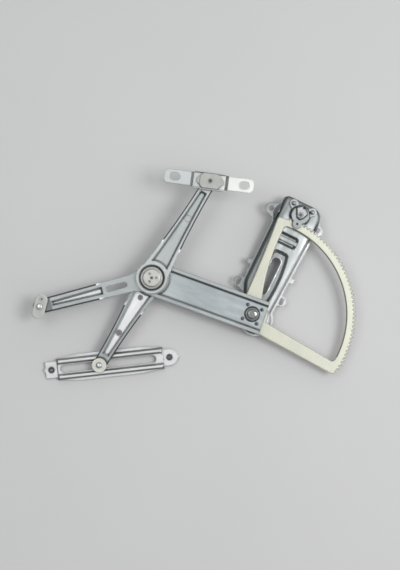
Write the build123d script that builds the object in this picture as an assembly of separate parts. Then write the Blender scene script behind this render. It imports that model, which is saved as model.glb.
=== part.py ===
from build123d import *

import math
import os

# A door window regulator of the crossed-arm kind, drawn lying on its door panel.
# X and Y lie in the plane of the linkage and +Z points from the panel to the glass.
# Every piece is drawn about the lift pivot; export_piece then moves the drive axis to the origin.
# Lengths are in millimetres and angles in degrees.

# ---- gear pair ----
GEAR_MODULE = 2.0
FULL_CIRCLE_TEETH = 152
PINION_TEETH = 10
PRESSURE_ANGLE = 20.0
SECTOR_ADDENDUM = 1.2
PINION_ADDENDUM = 2.0
ROOT_CLEARANCE = 0.5
FLANK_BACKLASH = 0.2
TEETH_BEFORE_DRIVE = 2
TEETH_AFTER_DRIVE = 41

# ---- linkage: lengths and directions at rest ----
DRIVE_ANGLE = 64.0
INNER_ARM_LENGTH = 157.2
INNER_ARM_ANGLE = 160.1
OUTER_ARM_LENGTH = 169.8
OUTER_ARM_ANGLE = 194.4
UPPER_AUX_LENGTH = 165.3
UPPER_AUX_ANGLE = 58.7
LOWER_AUX_LENGTH = 151.3
LOWER_AUX_ANGLE = 238.8
RAIL_ANGLE = 6.3
BRACKET_ANGLE = -7.5
SHOE_ANGLE = 74.5

# ---- sheet thicknesses and pressing depths ----
PLATE_SHEET = 1.8
PLATE_HEIGHT = 11.8
SECTOR_SHEET = 3.0
ARM_SHEET = 2.0
AUX_SHEET = 1.8
ARM_PRESS_DEPTH = 4.0
RAIL_SHEET = 1.5
RAIL_HEIGHT = 8.0
BRACKET_SHEET = 1.8
PRESS_DRAFT = 34.0

# ---- clearances ----
RUNNING_FIT = 0.05
LAYER_GAP = 0.6
SIDE_GAP = 0.4
FACE_GAP = 0.3

# ---- stack of layers above the panel ----
PIVOT_WASHER = 1.6
SECTOR_Z = PLATE_HEIGHT + PIVOT_WASHER
ARM_Z = SECTOR_Z + SECTOR_SHEET
ARM_TOP = ARM_Z + ARM_SHEET + ARM_PRESS_DEPTH
UPPER_AUX_Z = ARM_TOP + LAYER_GAP
UPPER_AUX_TOP = UPPER_AUX_Z + AUX_SHEET + ARM_PRESS_DEPTH
LOWER_AUX_TOP = ARM_Z - LAYER_GAP
LOWER_AUX_Z = LOWER_AUX_TOP - AUX_SHEET - ARM_PRESS_DEPTH
BRACKET_Z = UPPER_AUX_TOP + FACE_GAP

# ---- gear sizes that follow from the module ----
PITCH_RADIUS = GEAR_MODULE * FULL_CIRCLE_TEETH / 2
PINION_PITCH_RADIUS = GEAR_MODULE * PINION_TEETH / 2
CENTRE_DISTANCE = PITCH_RADIUS + PINION_PITCH_RADIUS
SECTOR_TIP_RADIUS = PITCH_RADIUS + SECTOR_ADDENDUM
SECTOR_ROOT_RADIUS = PITCH_RADIUS - PINION_ADDENDUM - ROOT_CLEARANCE
PINION_TIP_RADIUS = PINION_PITCH_RADIUS + PINION_ADDENDUM
PINION_ROOT_RADIUS = PINION_PITCH_RADIUS - SECTOR_ADDENDUM - ROOT_CLEARANCE
TOOTH_ANGLE = 360 / FULL_CIRCLE_TEETH

# ---- general ----
CROWN_SHARE = 0.6
EDGE_MATCH = 0.5
ARM_REACH = 60.0

# ---- sector gear ----
SECTOR_RIM = 10.2
SECTOR_TOP_ANGLE = 74.9
SECTOR_LOW_ANGLE = -36.9
SECTOR_HUB_RADIUS = 23.5
SECTOR_CORNER = 3.5
SPOKE_FILLET = 5.0
UPPER_SPOKE_LEFT_WAIST = (12.1, 76.3)
UPPER_SPOKE_LEFT_FOOT = (-13.9, 17.3)
UPPER_SPOKE_RIGHT_WAIST = (24.9, 71.3)
UPPER_SPOKE_RIGHT_FOOT = (13.6, 15.3)
UPPER_SPOKE_INNER_ANGLE = 69.2
LOWER_SPOKE_UPPER_FOOT = (10.1, -6.3)
LOWER_SPOKE_FOOT_ANGLE = -95.0
LOWER_SPOKE_INNER_ANGLE = -30.6

# ---- lift pivot: stud, washer and the rivets that join arm and sector ----
STUD_RADIUS = 6.0
STUD_HEAD_RADIUS = 10.3
STUD_HEAD_HEIGHT = 3.2
STUD_CROWN_RADIUS = 7.4
STUD_CROWN_HEIGHT = 1.4
STUD_CUP_RADIUS = 3.2
STUD_CUP_DEPTH = 1.2
STUD_FOOT_RADIUS = 7.0
STUD_FOOT_HEIGHT = 1.6
PIVOT_WASHER_RADIUS = 14.0
HEAD_GAP = 0.2
ARM_RIVET_CIRCLE = 15.6
ARM_RIVET_ANGLE = 24.0
ARM_RIVET_COUNT = 4
ARM_RIVET_RADIUS = 2.2
ARM_RIVET_CROWN = 0.8

# ---- main arm ----
ARM_WEB_HALF = 20.0
ARM_LIP = 5.2
ARM_TAIL = 19.0
HUB_RING_RADIUS = 23.6
HUB_RING_WIDTH = 4.2
HUB_CLEAR = 1.4
HUB_BUSH_RADIUS = 13.0
HUB_BUSH_FLANGE = 15.8
OUTER_ARM_ROOT_HALF = 13.4
HUB_FLARE_ROOT = (8.0, 22.1)
HUB_FLARE_WAIST = (19.0, 16.2)
HUB_FLARE_END = (36.0, 12.7)
OUTER_ARM_TIP_HALF = 10.6
OUTER_ARM_FLANGE_START = 44.0
TROUGH_START = 75.0
TROUGH_START_HALF = 5.6
TROUGH_MARGIN = 17.8
TROUGH_END_HALF = 3.5
ARM_SLOT_START = 38.0
ARM_SLOT_END = 69.0
ARM_SLOT_WIDTH = 7.4

# ---- shoe on the main arm's tip ----
SHOE_LENGTH = 37.0
SHOE_WIDTH = 18.0
SHOE_THICKNESS = 5.0
SHOE_PIN_RADIUS = 3.0
SHOE_PIN_HEAD = 4.6
PIN_HEAD_HEIGHT = 2.0
SHOE_HOLE_OFFSET = 12.0
SHOE_HOLE_RADIUS = 1.6
SHOE_BOSS_RADIUS = 3.2
SHOE_BOSS_HEIGHT = 0.8
SHOE_CHAMFER = 1.0

# ---- crossing arm: two pressed halves on one hub ----
AUX_ROOT = 8.0
AUX_ROOT_HALF = 21.0
AUX_WAIST_SHARE = 0.44
AUX_WAIST_HALF = 13.8
AUX_TIP_HALF = 9.8
AUX_RIB = 4.6
AUX_RIB_AT_ROOT = 6.6
AUX_FLANGE_START = 52.0
AUX_TROUGH_MARGIN = 18.0
UPPER_DIMPLE = 102.0
UPPER_DIMPLE_RADIUS = 4.4
LOWER_HOLE = 95.0
LOWER_HOLE_RADIUS = 4.4
LOWER_PILOT = 34.0
LOWER_PILOT_RADIUS = 3.6
EYE_RADIUS = 10.8
EYE_STEP = 3.0

# ---- scissor hub ----
HUB_CORE_RADIUS = 8.0
HUB_CAP_RADIUS = 16.0
HUB_CAP_HEIGHT = 1.8
HUB_CROWN_RADIUS = 14.0
HUB_CROWN_HEIGHT = 1.6
HUB_CROWN_DRAFT = 50.0
HUB_CENTRE_HOLE = 2.0
HUB_FOOT_HEIGHT = 1.4
HUB_DIMPLE_CIRCLE = 6.4
HUB_DIMPLE_RADIUS = 1.6
HUB_DIMPLE_DEPTH = 1.0
HUB_DIMPLE_COUNT = 3

# ---- guide rail and the slider that runs in it ----
RAIL_HOLE_LEFT = 72.5
RAIL_HOLE_RIGHT = 104.4
RAIL_TAB_HALF = 12.5
RAIL_TAB_END = 9.0
RAIL_FOOT_HALF = 16.2
RAIL_WING_HALF = 20.0
RAIL_WING_MARGIN = 34.0
RAIL_WALL_MARGIN = 8.5
RAIL_CHANNEL_HALF = 9.8
RAIL_CHANNEL_DEPTH = 4.5
RAIL_DRAFT = 20.0
RAIL_CHANNEL_DRAFT = 30.0
RAIL_SLOT_WIDTH = 11.0
RAIL_SLOT_LEFT_MARGIN = 5.0
RAIL_SLOT_RIGHT_MARGIN = 11.5
RAIL_NIB_LENGTH = 2.2
RAIL_NIB_WIDTH = 5.0
RAIL_NUT_RADIUS = 4.4
RAIL_NUT_HEIGHT = 3.0
RAIL_THREAD_RADIUS = 2.5
RAIL_PIN_RADIUS = 3.5
RAIL_PIN_HEAD = 4.4
RAIL_CAP_HEIGHT = 1.6
RAIL_CAP_CHAMFER = 0.6
RAIL_HEAD_HEIGHT = 1.8
SLIDER_LENGTH = 24.0
SLIDER_FOOT_MARGIN = 2.0
SLIDER_FOOT_THICKNESS = 1.2
RAIL_WEB_Z = RAIL_HEIGHT - RAIL_CHANNEL_DEPTH - RAIL_SHEET

# ---- glass bracket on the upper half ----
BRACKET_LEFT = 68.0
BRACKET_RIGHT = 64.0
BRACKET_TAB_HALF = 10.4
BRACKET_STEP_LEFT = 29.0
BRACKET_STEP_RIGHT = 26.6
BRACKET_STEP_RUN = 4.4
BRACKET_TRAY_HALF = 13.0
BRACKET_FLANGE = 1.8
BRACKET_FLANGE_DROP = 1.2
BRACKET_PRESS_DEPTH = 5.0
BRACKET_SLOT_LEFT = 52.0
BRACKET_SLOT_RIGHT = 50.0
BRACKET_SLOT_LENGTH = 15.0
BRACKET_SLOT_WIDTH = 10.6
BRACKET_CORNER = 4.2
BRACKET_PIN_RADIUS = 3.5
BRACKET_PIN_HEAD = 6.0
BRACKET_PIN_CUP = 2.0
BLOCK_LENGTH = 31.0
BLOCK_CHAMFER = 4.4
BLOCK_EDGE = 0.8
BLOCK_NOSE_RADIUS = 6.0
BLOCK_NOSE_REACH = 19.6
BLOCK_NOSE_HEIGHT = 3.5
BRACKET_TOP = BRACKET_Z + BRACKET_SHEET + BRACKET_PRESS_DEPTH

# ---- base plate: drawn with local X from the lift pivot towards the drive ----
PLATE_AXIS_OFFSET = 2.0
PLATE_NOSE = 20.7
PLATE_LEFT = 32.8
PLATE_LEFT_CORNER = 12.0
PLATE_LEFT_SHOULDER = 40.0
PLATE_LEFT_SHOULDER_ROUND = 30.0
PLATE_RIGHT_AT_NOSE = 37.0
PLATE_RIGHT_AT_TAIL = 28.8
PLATE_RIGHT_CORNER = 21.0
PLATE_SIDES_START = -14.0
PLATE_SIDES_CORNER = 8.0
PLATE_TAIL_LEFT = 10.0
PLATE_TAIL_CENTRE = (-4.0, -11.0)
PLATE_TAIL_RADIUS = 26.0
PLATE_RIM = 2.8
PLATE_FOLD = 1.4
PLATE_FOLD_DRAFT = 50.0
PLATE_DRAFT = 18.0
UPPER_LUG_STATION = 154.4
UPPER_LUG_REACH = (40.4, 35.8)
UPPER_LUG_RADIUS = 9.4
UPPER_LUG_ROOT = 15.0
UPPER_LUG_HOLE = 3.3
LOWER_LUG_STATION = 36.0
LOWER_LUG_REACH = (37.3, 33.9)
LOWER_LUG_RADIUS = 7.4
LOWER_LUG_ROOT = 11.5
LUG_SLOT_LENGTH = 11.4
LUG_SLOT_WIDTH = 5.8
NIB_STATION = 69.5
NIB_LENGTH = 8.0
NIB_REACH = (39.6, 37.6)
WINDOW_START = 32.0
WINDOW_END = 91.0
WINDOW_WIDTH = 12.5
WINDOW_OFFSET = -0.7
WELL_OFFSET = -1.6
WELL_FOOT = (20.0, 14.5)
WELL_WAIST = (56.0, 17.2)
WELL_HEAD = (103.0, 11.6)
WELL_CORNER = 6.5
WELL_DEPTH = 4.6
PLATE_BOSS_STATION = 121.0
PLATE_BOSS_LENGTH = 19.0
PLATE_BOSS_HALF = 17.5
PLATE_BOSS_CORNER = 5.0
PLATE_BOSS_DEPTH = 3.8
PLATE_STRIP_WIDTH = 5.6
PLATE_STRIP_DROP = 0.8
PLATE_FORM_DRAFT = 45.0

# ---- drive: pinion and spindle, bush, brake drum and bridge ----
JOURNAL_RADIUS = 5.6
SPINDLE_RADIUS = 5.0
SPINDLE_REACH = 16.0
SPINDLE_CHAMFER = 0.8
SPINDLE_GROOVE_MARGIN = 3.5
SPINDLE_GROOVE_WIDTH = 1.4
SPINDLE_GROOVE_DEPTH = 0.8
DRIVE_BUSH_RADIUS = 8.0
DRIVE_BUSH_FLANGE = 11.0
DRIVE_BUSH_FLANGE_HEIGHT = 0.8
DRUM_RADIUS = 14.5
DRUM_CHAMFER = 1.4
PINION_EXTRA = 0.6
BRIDGE_SHEET = 2.0
BRIDGE_RIVETS = ((20.5, 116.0), (19.2, 14.5))
BRIDGE_RIVET_RADIUS = 2.2
BRIDGE_RIVET_HEAD = 3.4
BRIDGE_FOOT_RADIUS = 6.2
BRIDGE_CAP_GAP = 0.8
BRIDGE_CAP_RADIUS = 16.2
BRIDGE_DRAFT = 22.0
BRIDGE_LOBE_REACH = 13.6
BRIDGE_LOBE_ANGLE = 249.0
BRIDGE_LOBE_RADIUS = 6.8
BRIDGE_CROWN = ((-7.4, 13.4), (-7.2, -3.8), (-1.2, -8.6), (4.4, -6.8), (13.8, 1.0), (6.4, 15.8))
BRIDGE_CROWN_CORNER = 4.2
BRIDGE_CROWN_HEIGHT = 3.0
BRIDGE_CROWN_DRAFT = 30.0
BRIDGE_CROWN_WALL = 2.4
BRIDGE_PILOT_RADIUS = 2.0
BRIDGE_PILOT_REACH = 12.0
BRIDGE_PILOT_ANGLE = 63.0
BRIDGE_DIMPLE_RADIUS = 1.6
BRIDGE_DIMPLE_DEPTH = 1.0
SHAFT_TOP_RADIUS = 3.8
SHAFT_TOP_HOLE = 1.9
BRIDGE_Z = SECTOR_Z + SECTOR_SHEET + PINION_EXTRA + BRIDGE_CAP_GAP


def polar(radius, angle):
    """A point at a radius and direction from the lift pivot."""
    return Vector(radius * math.cos(math.radians(angle)), radius * math.sin(math.radians(angle)))


PIVOT = Vector(0, 0)
DRIVE = polar(CENTRE_DISTANCE, DRIVE_ANGLE)
HUB = polar(INNER_ARM_LENGTH, INNER_ARM_ANGLE)
ARM_END = HUB + polar(OUTER_ARM_LENGTH, OUTER_ARM_ANGLE)
UPPER_END = HUB + polar(UPPER_AUX_LENGTH, UPPER_AUX_ANGLE)
LOWER_END = HUB + polar(LOWER_AUX_LENGTH, LOWER_AUX_ANGLE)


# ---- drawing helpers ----
def place(point, angle=0):
    """Location in the linkage plane: local X runs along the given direction."""
    return Pos(point.X, point.Y, 0) * Rot(0, 0, angle)


def slab(face, z, height):
    """A face pulled up into a plate between z and z + height."""
    return extrude(Pos(0, 0, z) * face, amount=height, dir=(0, 0, 1))


def sunk(face, top_z, depth, draft=PRESS_DRAFT):
    """A face pulled down from top_z, drawing in with the press draft."""
    return extrude(Pos(0, 0, top_z) * face, amount=depth, dir=(0, 0, -1), taper=draft)


def raised(face, z, height, draft=PRESS_DRAFT):
    """A face pulled up from z, drawing in with a draft."""
    return extrude(Pos(0, 0, z) * face, amount=height, dir=(0, 0, 1), taper=draft)


def disc(point, radius):
    """A round face about a point."""
    return Pos(point.X, point.Y, 0) * Circle(radius)


def post(point, radius, z, height):
    """An upright cylinder standing on z."""
    return slab(disc(point, radius), z, height)


def rivet_head(point, radius, z, height):
    """A rivet head: a short disc with a bevelled crown."""
    head = post(point, radius, z, height)
    return chamfer(head.edges().group_by(Axis.Z)[-1], height * CROWN_SHARE)


def long_slot(start, end, width):
    """A slot with round ends along X, given by the distances of its two ends."""
    return Pos((start + end) / 2, 0) * SlotOverall(end - start, width)


def strip(start, end, half):
    """A rectangle along X between two distances from the local origin."""
    return Pos((start + end) / 2, 0) * Rectangle(end - start, 2 * half)


def curved_flanks(start, start_half, middle, middle_half, end, end_half):
    """A bar along X with arc flanks through three stations, square at both ends."""
    upper = ThreePointArc((start, start_half), (middle, middle_half), (end, end_half))
    lower = ThreePointArc((end, -end_half), (middle, -middle_half), (start, -start_half))
    far = Line(upper @ 1, lower @ 0)
    near = Line(lower @ 1, upper @ 0)
    return make_face(Curve() + [upper, far, lower, near])


def rounded_bar(start, middle, end, radius):
    """A bar with arc flanks and rounded corners, from stations that are each given as distance and half width."""
    body = slab(curved_flanks(*start, *middle, *end), 0, 1)
    return fillet(body.edges().filter_by(Axis.Z), radius).faces().sort_by(Axis.Z)[0]


def straight_flanks(start, start_half, end, end_half):
    """A tapered bar along X, square at both ends."""
    corners = [(start, start_half), (end, end_half), (end, -end_half), (start, -start_half)]
    return make_face(Polyline(*corners, close=True))


def rounded_polygon(*corners):
    """A straight-sided face whose corners are each given as X, Y and a radius."""
    face = make_face(Polyline(*[(x, y) for x, y, _ in corners], close=True))
    for x, y, radius in corners:
        nearest = face.vertices().sort_by_distance((x, y, 0))[0]
        face = fillet(nearest, radius)
    return face


def recess(face, top_z, sheet, depth, draft=PRESS_DRAFT):
    """The metal and the hollow of a recess pressed down into a sheet."""
    metal = sunk(offset(face, amount=sheet), top_z, depth + sheet, draft)
    return metal, sunk(face, top_z, depth, draft)


def pressed_sheet(outline, hollows, top_z, sheet, depth):
    """A flat sheet with its upper face at top_z and every hollow pressed down into it."""
    body = slab(outline, top_z - sheet, sheet)
    pressed = [recess(hollow, top_z, sheet, depth) for hollow in hollows]
    for metal, _ in pressed:
        body += metal
    for _, hollow in pressed:
        body -= hollow
    return body & slab(outline, top_z - depth - sheet, depth + sheet)


def edge_flange(outline, frame, start, end, sheet, z):
    """Flanges turned down along an outline's edges between two distances along an arm."""
    band = (outline - offset(outline, amount=-sheet)) & (frame * strip(start, end, ARM_REACH))
    return slab(band, z, ARM_PRESS_DEPTH)


# ---- sector gear ----


def involute(angle):
    """The involute function of an angle in radians."""
    return math.tan(angle) - angle


def tooth_half_angle(pitch_radius, teeth, radius):
    """Half the angle that a tooth covers at a radius, in degrees, with its backlash taken off."""
    base = pitch_radius * math.cos(math.radians(PRESSURE_ANGLE))
    at_radius = math.acos(min(1.0, base / radius))
    half = math.pi / (2 * teeth) - FLANK_BACKLASH / (2 * pitch_radius)
    return math.degrees(half + involute(math.radians(PRESSURE_ANGLE)) - involute(at_radius))


def tooth_face(pitch_radius, teeth, root, tip):
    """One tooth about the +X direction, with involute flanks from its root to its tip."""
    base = pitch_radius * math.cos(math.radians(PRESSURE_ANGLE))
    middle = (max(root, base) + tip) / 2
    upper = [polar(radius, tooth_half_angle(pitch_radius, teeth, radius)) for radius in (root, middle, tip)]
    buried = Vector(root - ROOT_CLEARANCE, upper[0].Y)
    upper = [buried] + upper
    lower = [Vector(point.X, -point.Y) for point in reversed(upper)]
    return make_face(Polyline(*upper, *lower, close=True))


def ring_sector(outer, inner, start_angle, end_angle):
    """A curved strip between two radii about the lift pivot."""
    outer_arc = CenterArc((0, 0), outer, start_angle, end_angle - start_angle)
    inner_arc = CenterArc((0, 0), inner, start_angle, end_angle - start_angle)
    sides = [Line(outer_arc @ 0, inner_arc @ 0), Line(outer_arc @ 1, inner_arc @ 1)]
    return make_face(Curve() + [outer_arc, inner_arc] + sides)


def sector_outline():
    """The sector without its teeth: rim, two spokes and the hub behind the arm."""
    rim_inner = SECTOR_ROOT_RADIUS - SECTOR_RIM
    rim_middle = SECTOR_ROOT_RADIUS - SECTOR_RIM / 2
    rim = ring_sector(SECTOR_ROOT_RADIUS, rim_inner, SECTOR_LOW_ANGLE, SECTOR_TOP_ANGLE)
    top_corner = polar(SECTOR_ROOT_RADIUS, SECTOR_TOP_ANGLE)
    low_corner = polar(SECTOR_ROOT_RADIUS, SECTOR_LOW_ANGLE)
    left = ThreePointArc(top_corner, UPPER_SPOKE_LEFT_WAIST, UPPER_SPOKE_LEFT_FOOT)
    right_end = polar(rim_middle, UPPER_SPOKE_INNER_ANGLE)
    right = ThreePointArc(UPPER_SPOKE_RIGHT_FOOT, UPPER_SPOKE_RIGHT_WAIST, right_end)
    upper_spoke = make_face(Curve() + [left, Line(left @ 1, right @ 0), right, Line(right @ 1, left @ 0)])
    lower_spoke = make_face(
        Polyline(
            LOWER_SPOKE_UPPER_FOOT,
            polar(rim_middle, LOWER_SPOKE_INNER_ANGLE),
            low_corner,
            polar(SECTOR_HUB_RADIUS, LOWER_SPOKE_FOOT_ANGLE),
            close=True,
        )
    )
    return rim + upper_spoke + lower_spoke + disc(PIVOT, SECTOR_HUB_RADIUS)


def flat_distance(point):
    """How far a point is from the lift pivot's axis."""
    return math.hypot(point.X, point.Y)


def upright_edges(body, radius):
    """The upright edges of a plate that lie at a given distance from the lift pivot."""
    uprights = body.edges().filter_by(Axis.Z)
    return [edge for edge in uprights if abs(flat_distance(edge.center()) - radius) < EDGE_MATCH]


def sector_gear():
    """The toothed sector that the pinion drives."""
    plate = slab(sector_outline(), SECTOR_Z, SECTOR_SHEET)
    plate = fillet(upright_edges(plate, SECTOR_ROOT_RADIUS), SECTOR_CORNER)
    plate = fillet(upright_edges(plate, SECTOR_ROOT_RADIUS - SECTOR_RIM), SPOKE_FILLET)
    tooth = tooth_face(PITCH_RADIUS, FULL_CIRCLE_TEETH, SECTOR_ROOT_RADIUS, SECTOR_TIP_RADIUS)
    teeth = [
        Rot(0, 0, DRIVE_ANGLE + (step + 0.5) * TOOTH_ANGLE) * slab(tooth, SECTOR_Z, SECTOR_SHEET)
        for step in range(-TEETH_AFTER_DRIVE, TEETH_BEFORE_DRIVE)
    ]
    holes = [post(PIVOT, STUD_RADIUS + RUNNING_FIT, SECTOR_Z, SECTOR_SHEET)]
    holes += [post(point, ARM_RIVET_RADIUS, SECTOR_Z, SECTOR_SHEET) for point in arm_rivet_points()]
    return plate + teeth - holes


# ---- lift pivot: stud, washer and the rivets that join arm and sector ----


def arm_rivet_points():
    """Centres of the rivets that hold the main arm on the sector."""
    step = 360 / ARM_RIVET_COUNT
    return [polar(ARM_RIVET_CIRCLE, ARM_RIVET_ANGLE + step * index) for index in range(ARM_RIVET_COUNT)]


def pivot_stud():
    """The shouldered stud riveted into the base plate, with its stepped, cupped head over the arm."""
    head_z = ARM_Z + ARM_SHEET + HEAD_GAP
    foot_z = PLATE_HEIGHT - PLATE_SHEET - STUD_FOOT_HEIGHT
    body = post(PIVOT, STUD_RADIUS, foot_z, head_z - foot_z + STUD_HEAD_HEIGHT / 2)
    rim_height = STUD_HEAD_HEIGHT - STUD_CROWN_HEIGHT
    body += rivet_head(PIVOT, STUD_HEAD_RADIUS, head_z, rim_height)
    body += rivet_head(PIVOT, STUD_CROWN_RADIUS, head_z + rim_height, STUD_CROWN_HEIGHT)
    body -= post(PIVOT, STUD_CUP_RADIUS, head_z + STUD_HEAD_HEIGHT - STUD_CUP_DEPTH, STUD_CUP_DEPTH)
    return body + post(PIVOT, STUD_FOOT_RADIUS, foot_z, STUD_FOOT_HEIGHT)


def pivot_washer():
    """The spacer between the base plate and the sector."""
    body = post(PIVOT, PIVOT_WASHER_RADIUS, PLATE_HEIGHT, PIVOT_WASHER)
    return body - post(PIVOT, STUD_RADIUS, PLATE_HEIGHT, PIVOT_WASHER)


def arm_rivets():
    """The ring of small rivets through the sector and the main arm."""
    length = SECTOR_SHEET + ARM_SHEET + ARM_RIVET_CROWN
    return [post(point, ARM_RIVET_RADIUS, SECTOR_Z, length) for point in arm_rivet_points()]


# ---- main arm ----


def main_arm_outline():
    """The outer edge of the main arm, from its square tail to its rounded tip."""
    bar = place(PIVOT, INNER_ARM_ANGLE) * strip(-ARM_TAIL, INNER_ARM_LENGTH, ARM_WEB_HALF + ARM_LIP)
    beam = straight_flanks(0, OUTER_ARM_ROOT_HALF, OUTER_ARM_LENGTH, OUTER_ARM_TIP_HALF)
    flare = curved_flanks(*HUB_FLARE_ROOT, *HUB_FLARE_WAIST, *HUB_FLARE_END)
    outer = place(HUB, OUTER_ARM_ANGLE) * (beam + flare)
    return bar + disc(HUB, HUB_RING_RADIUS) + outer + disc(ARM_END, OUTER_ARM_TIP_HALF)


def main_arm():
    """The pressed main arm: a wide sunk web on the sector, a hub ring, and a ribbed outer beam."""
    outer = place(HUB, OUTER_ARM_ANGLE)
    outline = main_arm_outline()
    web = place(PIVOT, INNER_ARM_ANGLE) * strip(-2 * ARM_TAIL, INNER_ARM_LENGTH, ARM_WEB_HALF)
    web -= disc(HUB, HUB_RING_RADIUS + HUB_CLEAR)
    hub_floor = disc(HUB, HUB_RING_RADIUS - HUB_RING_WIDTH)
    trough_end = OUTER_ARM_LENGTH - TROUGH_MARGIN
    trough = outer * straight_flanks(TROUGH_START, TROUGH_START_HALF, trough_end, TROUGH_END_HALF)
    body = pressed_sheet(outline, [web, hub_floor, trough], ARM_TOP, ARM_SHEET, ARM_PRESS_DEPTH)
    body += edge_flange(outline, outer, OUTER_ARM_FLANGE_START, OUTER_ARM_LENGTH, ARM_SHEET, ARM_Z)
    slot = outer * long_slot(ARM_SLOT_START, ARM_SLOT_END, ARM_SLOT_WIDTH)
    height = ARM_TOP - ARM_Z
    holes = [slab(slot, ARM_Z, height), post(HUB, HUB_BUSH_RADIUS + RUNNING_FIT, ARM_Z, height)]
    holes.append(post(PIVOT, STUD_RADIUS + RUNNING_FIT, ARM_Z, height))
    holes.append(post(ARM_END, SHOE_PIN_RADIUS, ARM_Z, height))
    holes += [post(point, ARM_RIVET_RADIUS, ARM_Z, height) for point in arm_rivet_points()]
    return body - holes


# ---- shoe on the main arm's tip ----


def main_arm_shoe():
    """The oblong sliding shoe that turns on the main arm's tip."""
    frame = place(ARM_END, SHOE_ANGLE)
    z = ARM_TOP + FACE_GAP
    body = slab(frame * SlotOverall(SHOE_LENGTH, SHOE_WIDTH), z, SHOE_THICKNESS)
    body = chamfer(body.edges().group_by(Axis.Z)[-1], SHOE_CHAMFER)
    side = ARM_END + polar(SHOE_HOLE_OFFSET, SHOE_ANGLE)
    body += post(side, SHOE_BOSS_RADIUS, z + SHOE_THICKNESS - SHOE_CHAMFER, SHOE_CHAMFER + SHOE_BOSS_HEIGHT)
    body -= post(side, SHOE_HOLE_RADIUS, z, SHOE_THICKNESS + SHOE_BOSS_HEIGHT)
    return body - post(ARM_END, SHOE_PIN_RADIUS + RUNNING_FIT, z, SHOE_THICKNESS)


def shoe_pin():
    """The rivet that carries the shoe, fixed in the main arm."""
    top = ARM_TOP + FACE_GAP + SHOE_THICKNESS + HEAD_GAP
    bottom = ARM_TOP - ARM_SHEET
    foot_z = bottom - PIN_HEAD_HEIGHT
    body = post(ARM_END, SHOE_PIN_RADIUS, foot_z, top - foot_z + PIN_HEAD_HEIGHT / 2)
    body += post(ARM_END, SHOE_PIN_HEAD, foot_z, PIN_HEAD_HEIGHT)
    return body + rivet_head(ARM_END, SHOE_PIN_HEAD, top, PIN_HEAD_HEIGHT)


# ---- crossing arm: two pressed halves on one hub ----


def aux_outline(angle, length):
    """The outer edge of one half of the crossing arm."""
    waist = AUX_WAIST_SHARE * length
    bar = curved_flanks(AUX_ROOT, AUX_ROOT_HALF, waist, AUX_WAIST_HALF, length, AUX_TIP_HALF)
    tip = HUB + polar(length, angle)
    return disc(HUB, HUB_RING_RADIUS) + place(HUB, angle) * bar + disc(tip, EYE_RADIUS)


def aux_trough(angle, length):
    """The tapering trough pressed along one half of the crossing arm."""
    end = length - AUX_TROUGH_MARGIN
    waist = AUX_WAIST_SHARE * length
    root_half = AUX_ROOT_HALF - AUX_RIB_AT_ROOT
    flanks = curved_flanks(AUX_ROOT, root_half, waist, AUX_WAIST_HALF - AUX_RIB, end, AUX_TIP_HALF - AUX_RIB)
    return place(HUB, angle) * flanks - disc(HUB, HUB_RING_RADIUS + HUB_CLEAR)


def aux_half(angle, length, top_z, sunk_eye):
    """One pressed half of the crossing arm, with flanges turned down beside its trough."""
    tip = HUB + polar(length, angle)
    outline = aux_outline(angle, length)
    hollows = [aux_trough(angle, length), disc(HUB, HUB_RING_RADIUS - HUB_RING_WIDTH)]
    if sunk_eye:
        hollows.append(disc(tip, EYE_RADIUS + EYE_STEP))
    body = pressed_sheet(outline, hollows, top_z, AUX_SHEET, ARM_PRESS_DEPTH)
    floor_z = top_z - AUX_SHEET - ARM_PRESS_DEPTH
    end = length - AUX_TROUGH_MARGIN
    return body + edge_flange(outline, place(HUB, angle), AUX_FLANGE_START, end, AUX_SHEET, floor_z)


def aux_arm_upper():
    """The upper half of the crossing arm, on the glass side of the main arm."""
    body = aux_half(UPPER_AUX_ANGLE, UPPER_AUX_LENGTH, UPPER_AUX_TOP, sunk_eye=False)
    body -= post(HUB, HUB_CORE_RADIUS, UPPER_AUX_Z, AUX_SHEET)
    dimple = HUB + polar(UPPER_DIMPLE, UPPER_AUX_ANGLE)
    body -= post(dimple, UPPER_DIMPLE_RADIUS, UPPER_AUX_Z, AUX_SHEET)
    return body - post(UPPER_END, BRACKET_PIN_RADIUS, UPPER_AUX_Z, UPPER_AUX_TOP - UPPER_AUX_Z)


def aux_arm_lower():
    """The lower half of the crossing arm, on the panel side of the main arm."""
    body = aux_half(LOWER_AUX_ANGLE, LOWER_AUX_LENGTH, LOWER_AUX_TOP, sunk_eye=True)
    body -= post(HUB, HUB_CORE_RADIUS, LOWER_AUX_Z, AUX_SHEET)
    for distance, radius in ((LOWER_HOLE, LOWER_HOLE_RADIUS), (LOWER_PILOT, LOWER_PILOT_RADIUS)):
        body -= post(HUB + polar(distance, LOWER_AUX_ANGLE), radius, LOWER_AUX_Z, AUX_SHEET)
    return body - post(LOWER_END, RAIL_PIN_RADIUS, LOWER_AUX_Z, LOWER_AUX_TOP - LOWER_AUX_Z)


# ---- scissor hub ----


def hub_bush():
    """The collar between the two aux halves that the main arm turns on."""
    low_z = LOWER_AUX_Z + AUX_SHEET
    flange_z = ARM_Z + ARM_SHEET + FACE_GAP
    body = post(HUB, HUB_BUSH_RADIUS, low_z, UPPER_AUX_Z - low_z)
    body += post(HUB, HUB_BUSH_FLANGE, flange_z, UPPER_AUX_Z - flange_z)
    return body - post(HUB, HUB_CORE_RADIUS, low_z, UPPER_AUX_Z - low_z)


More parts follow.
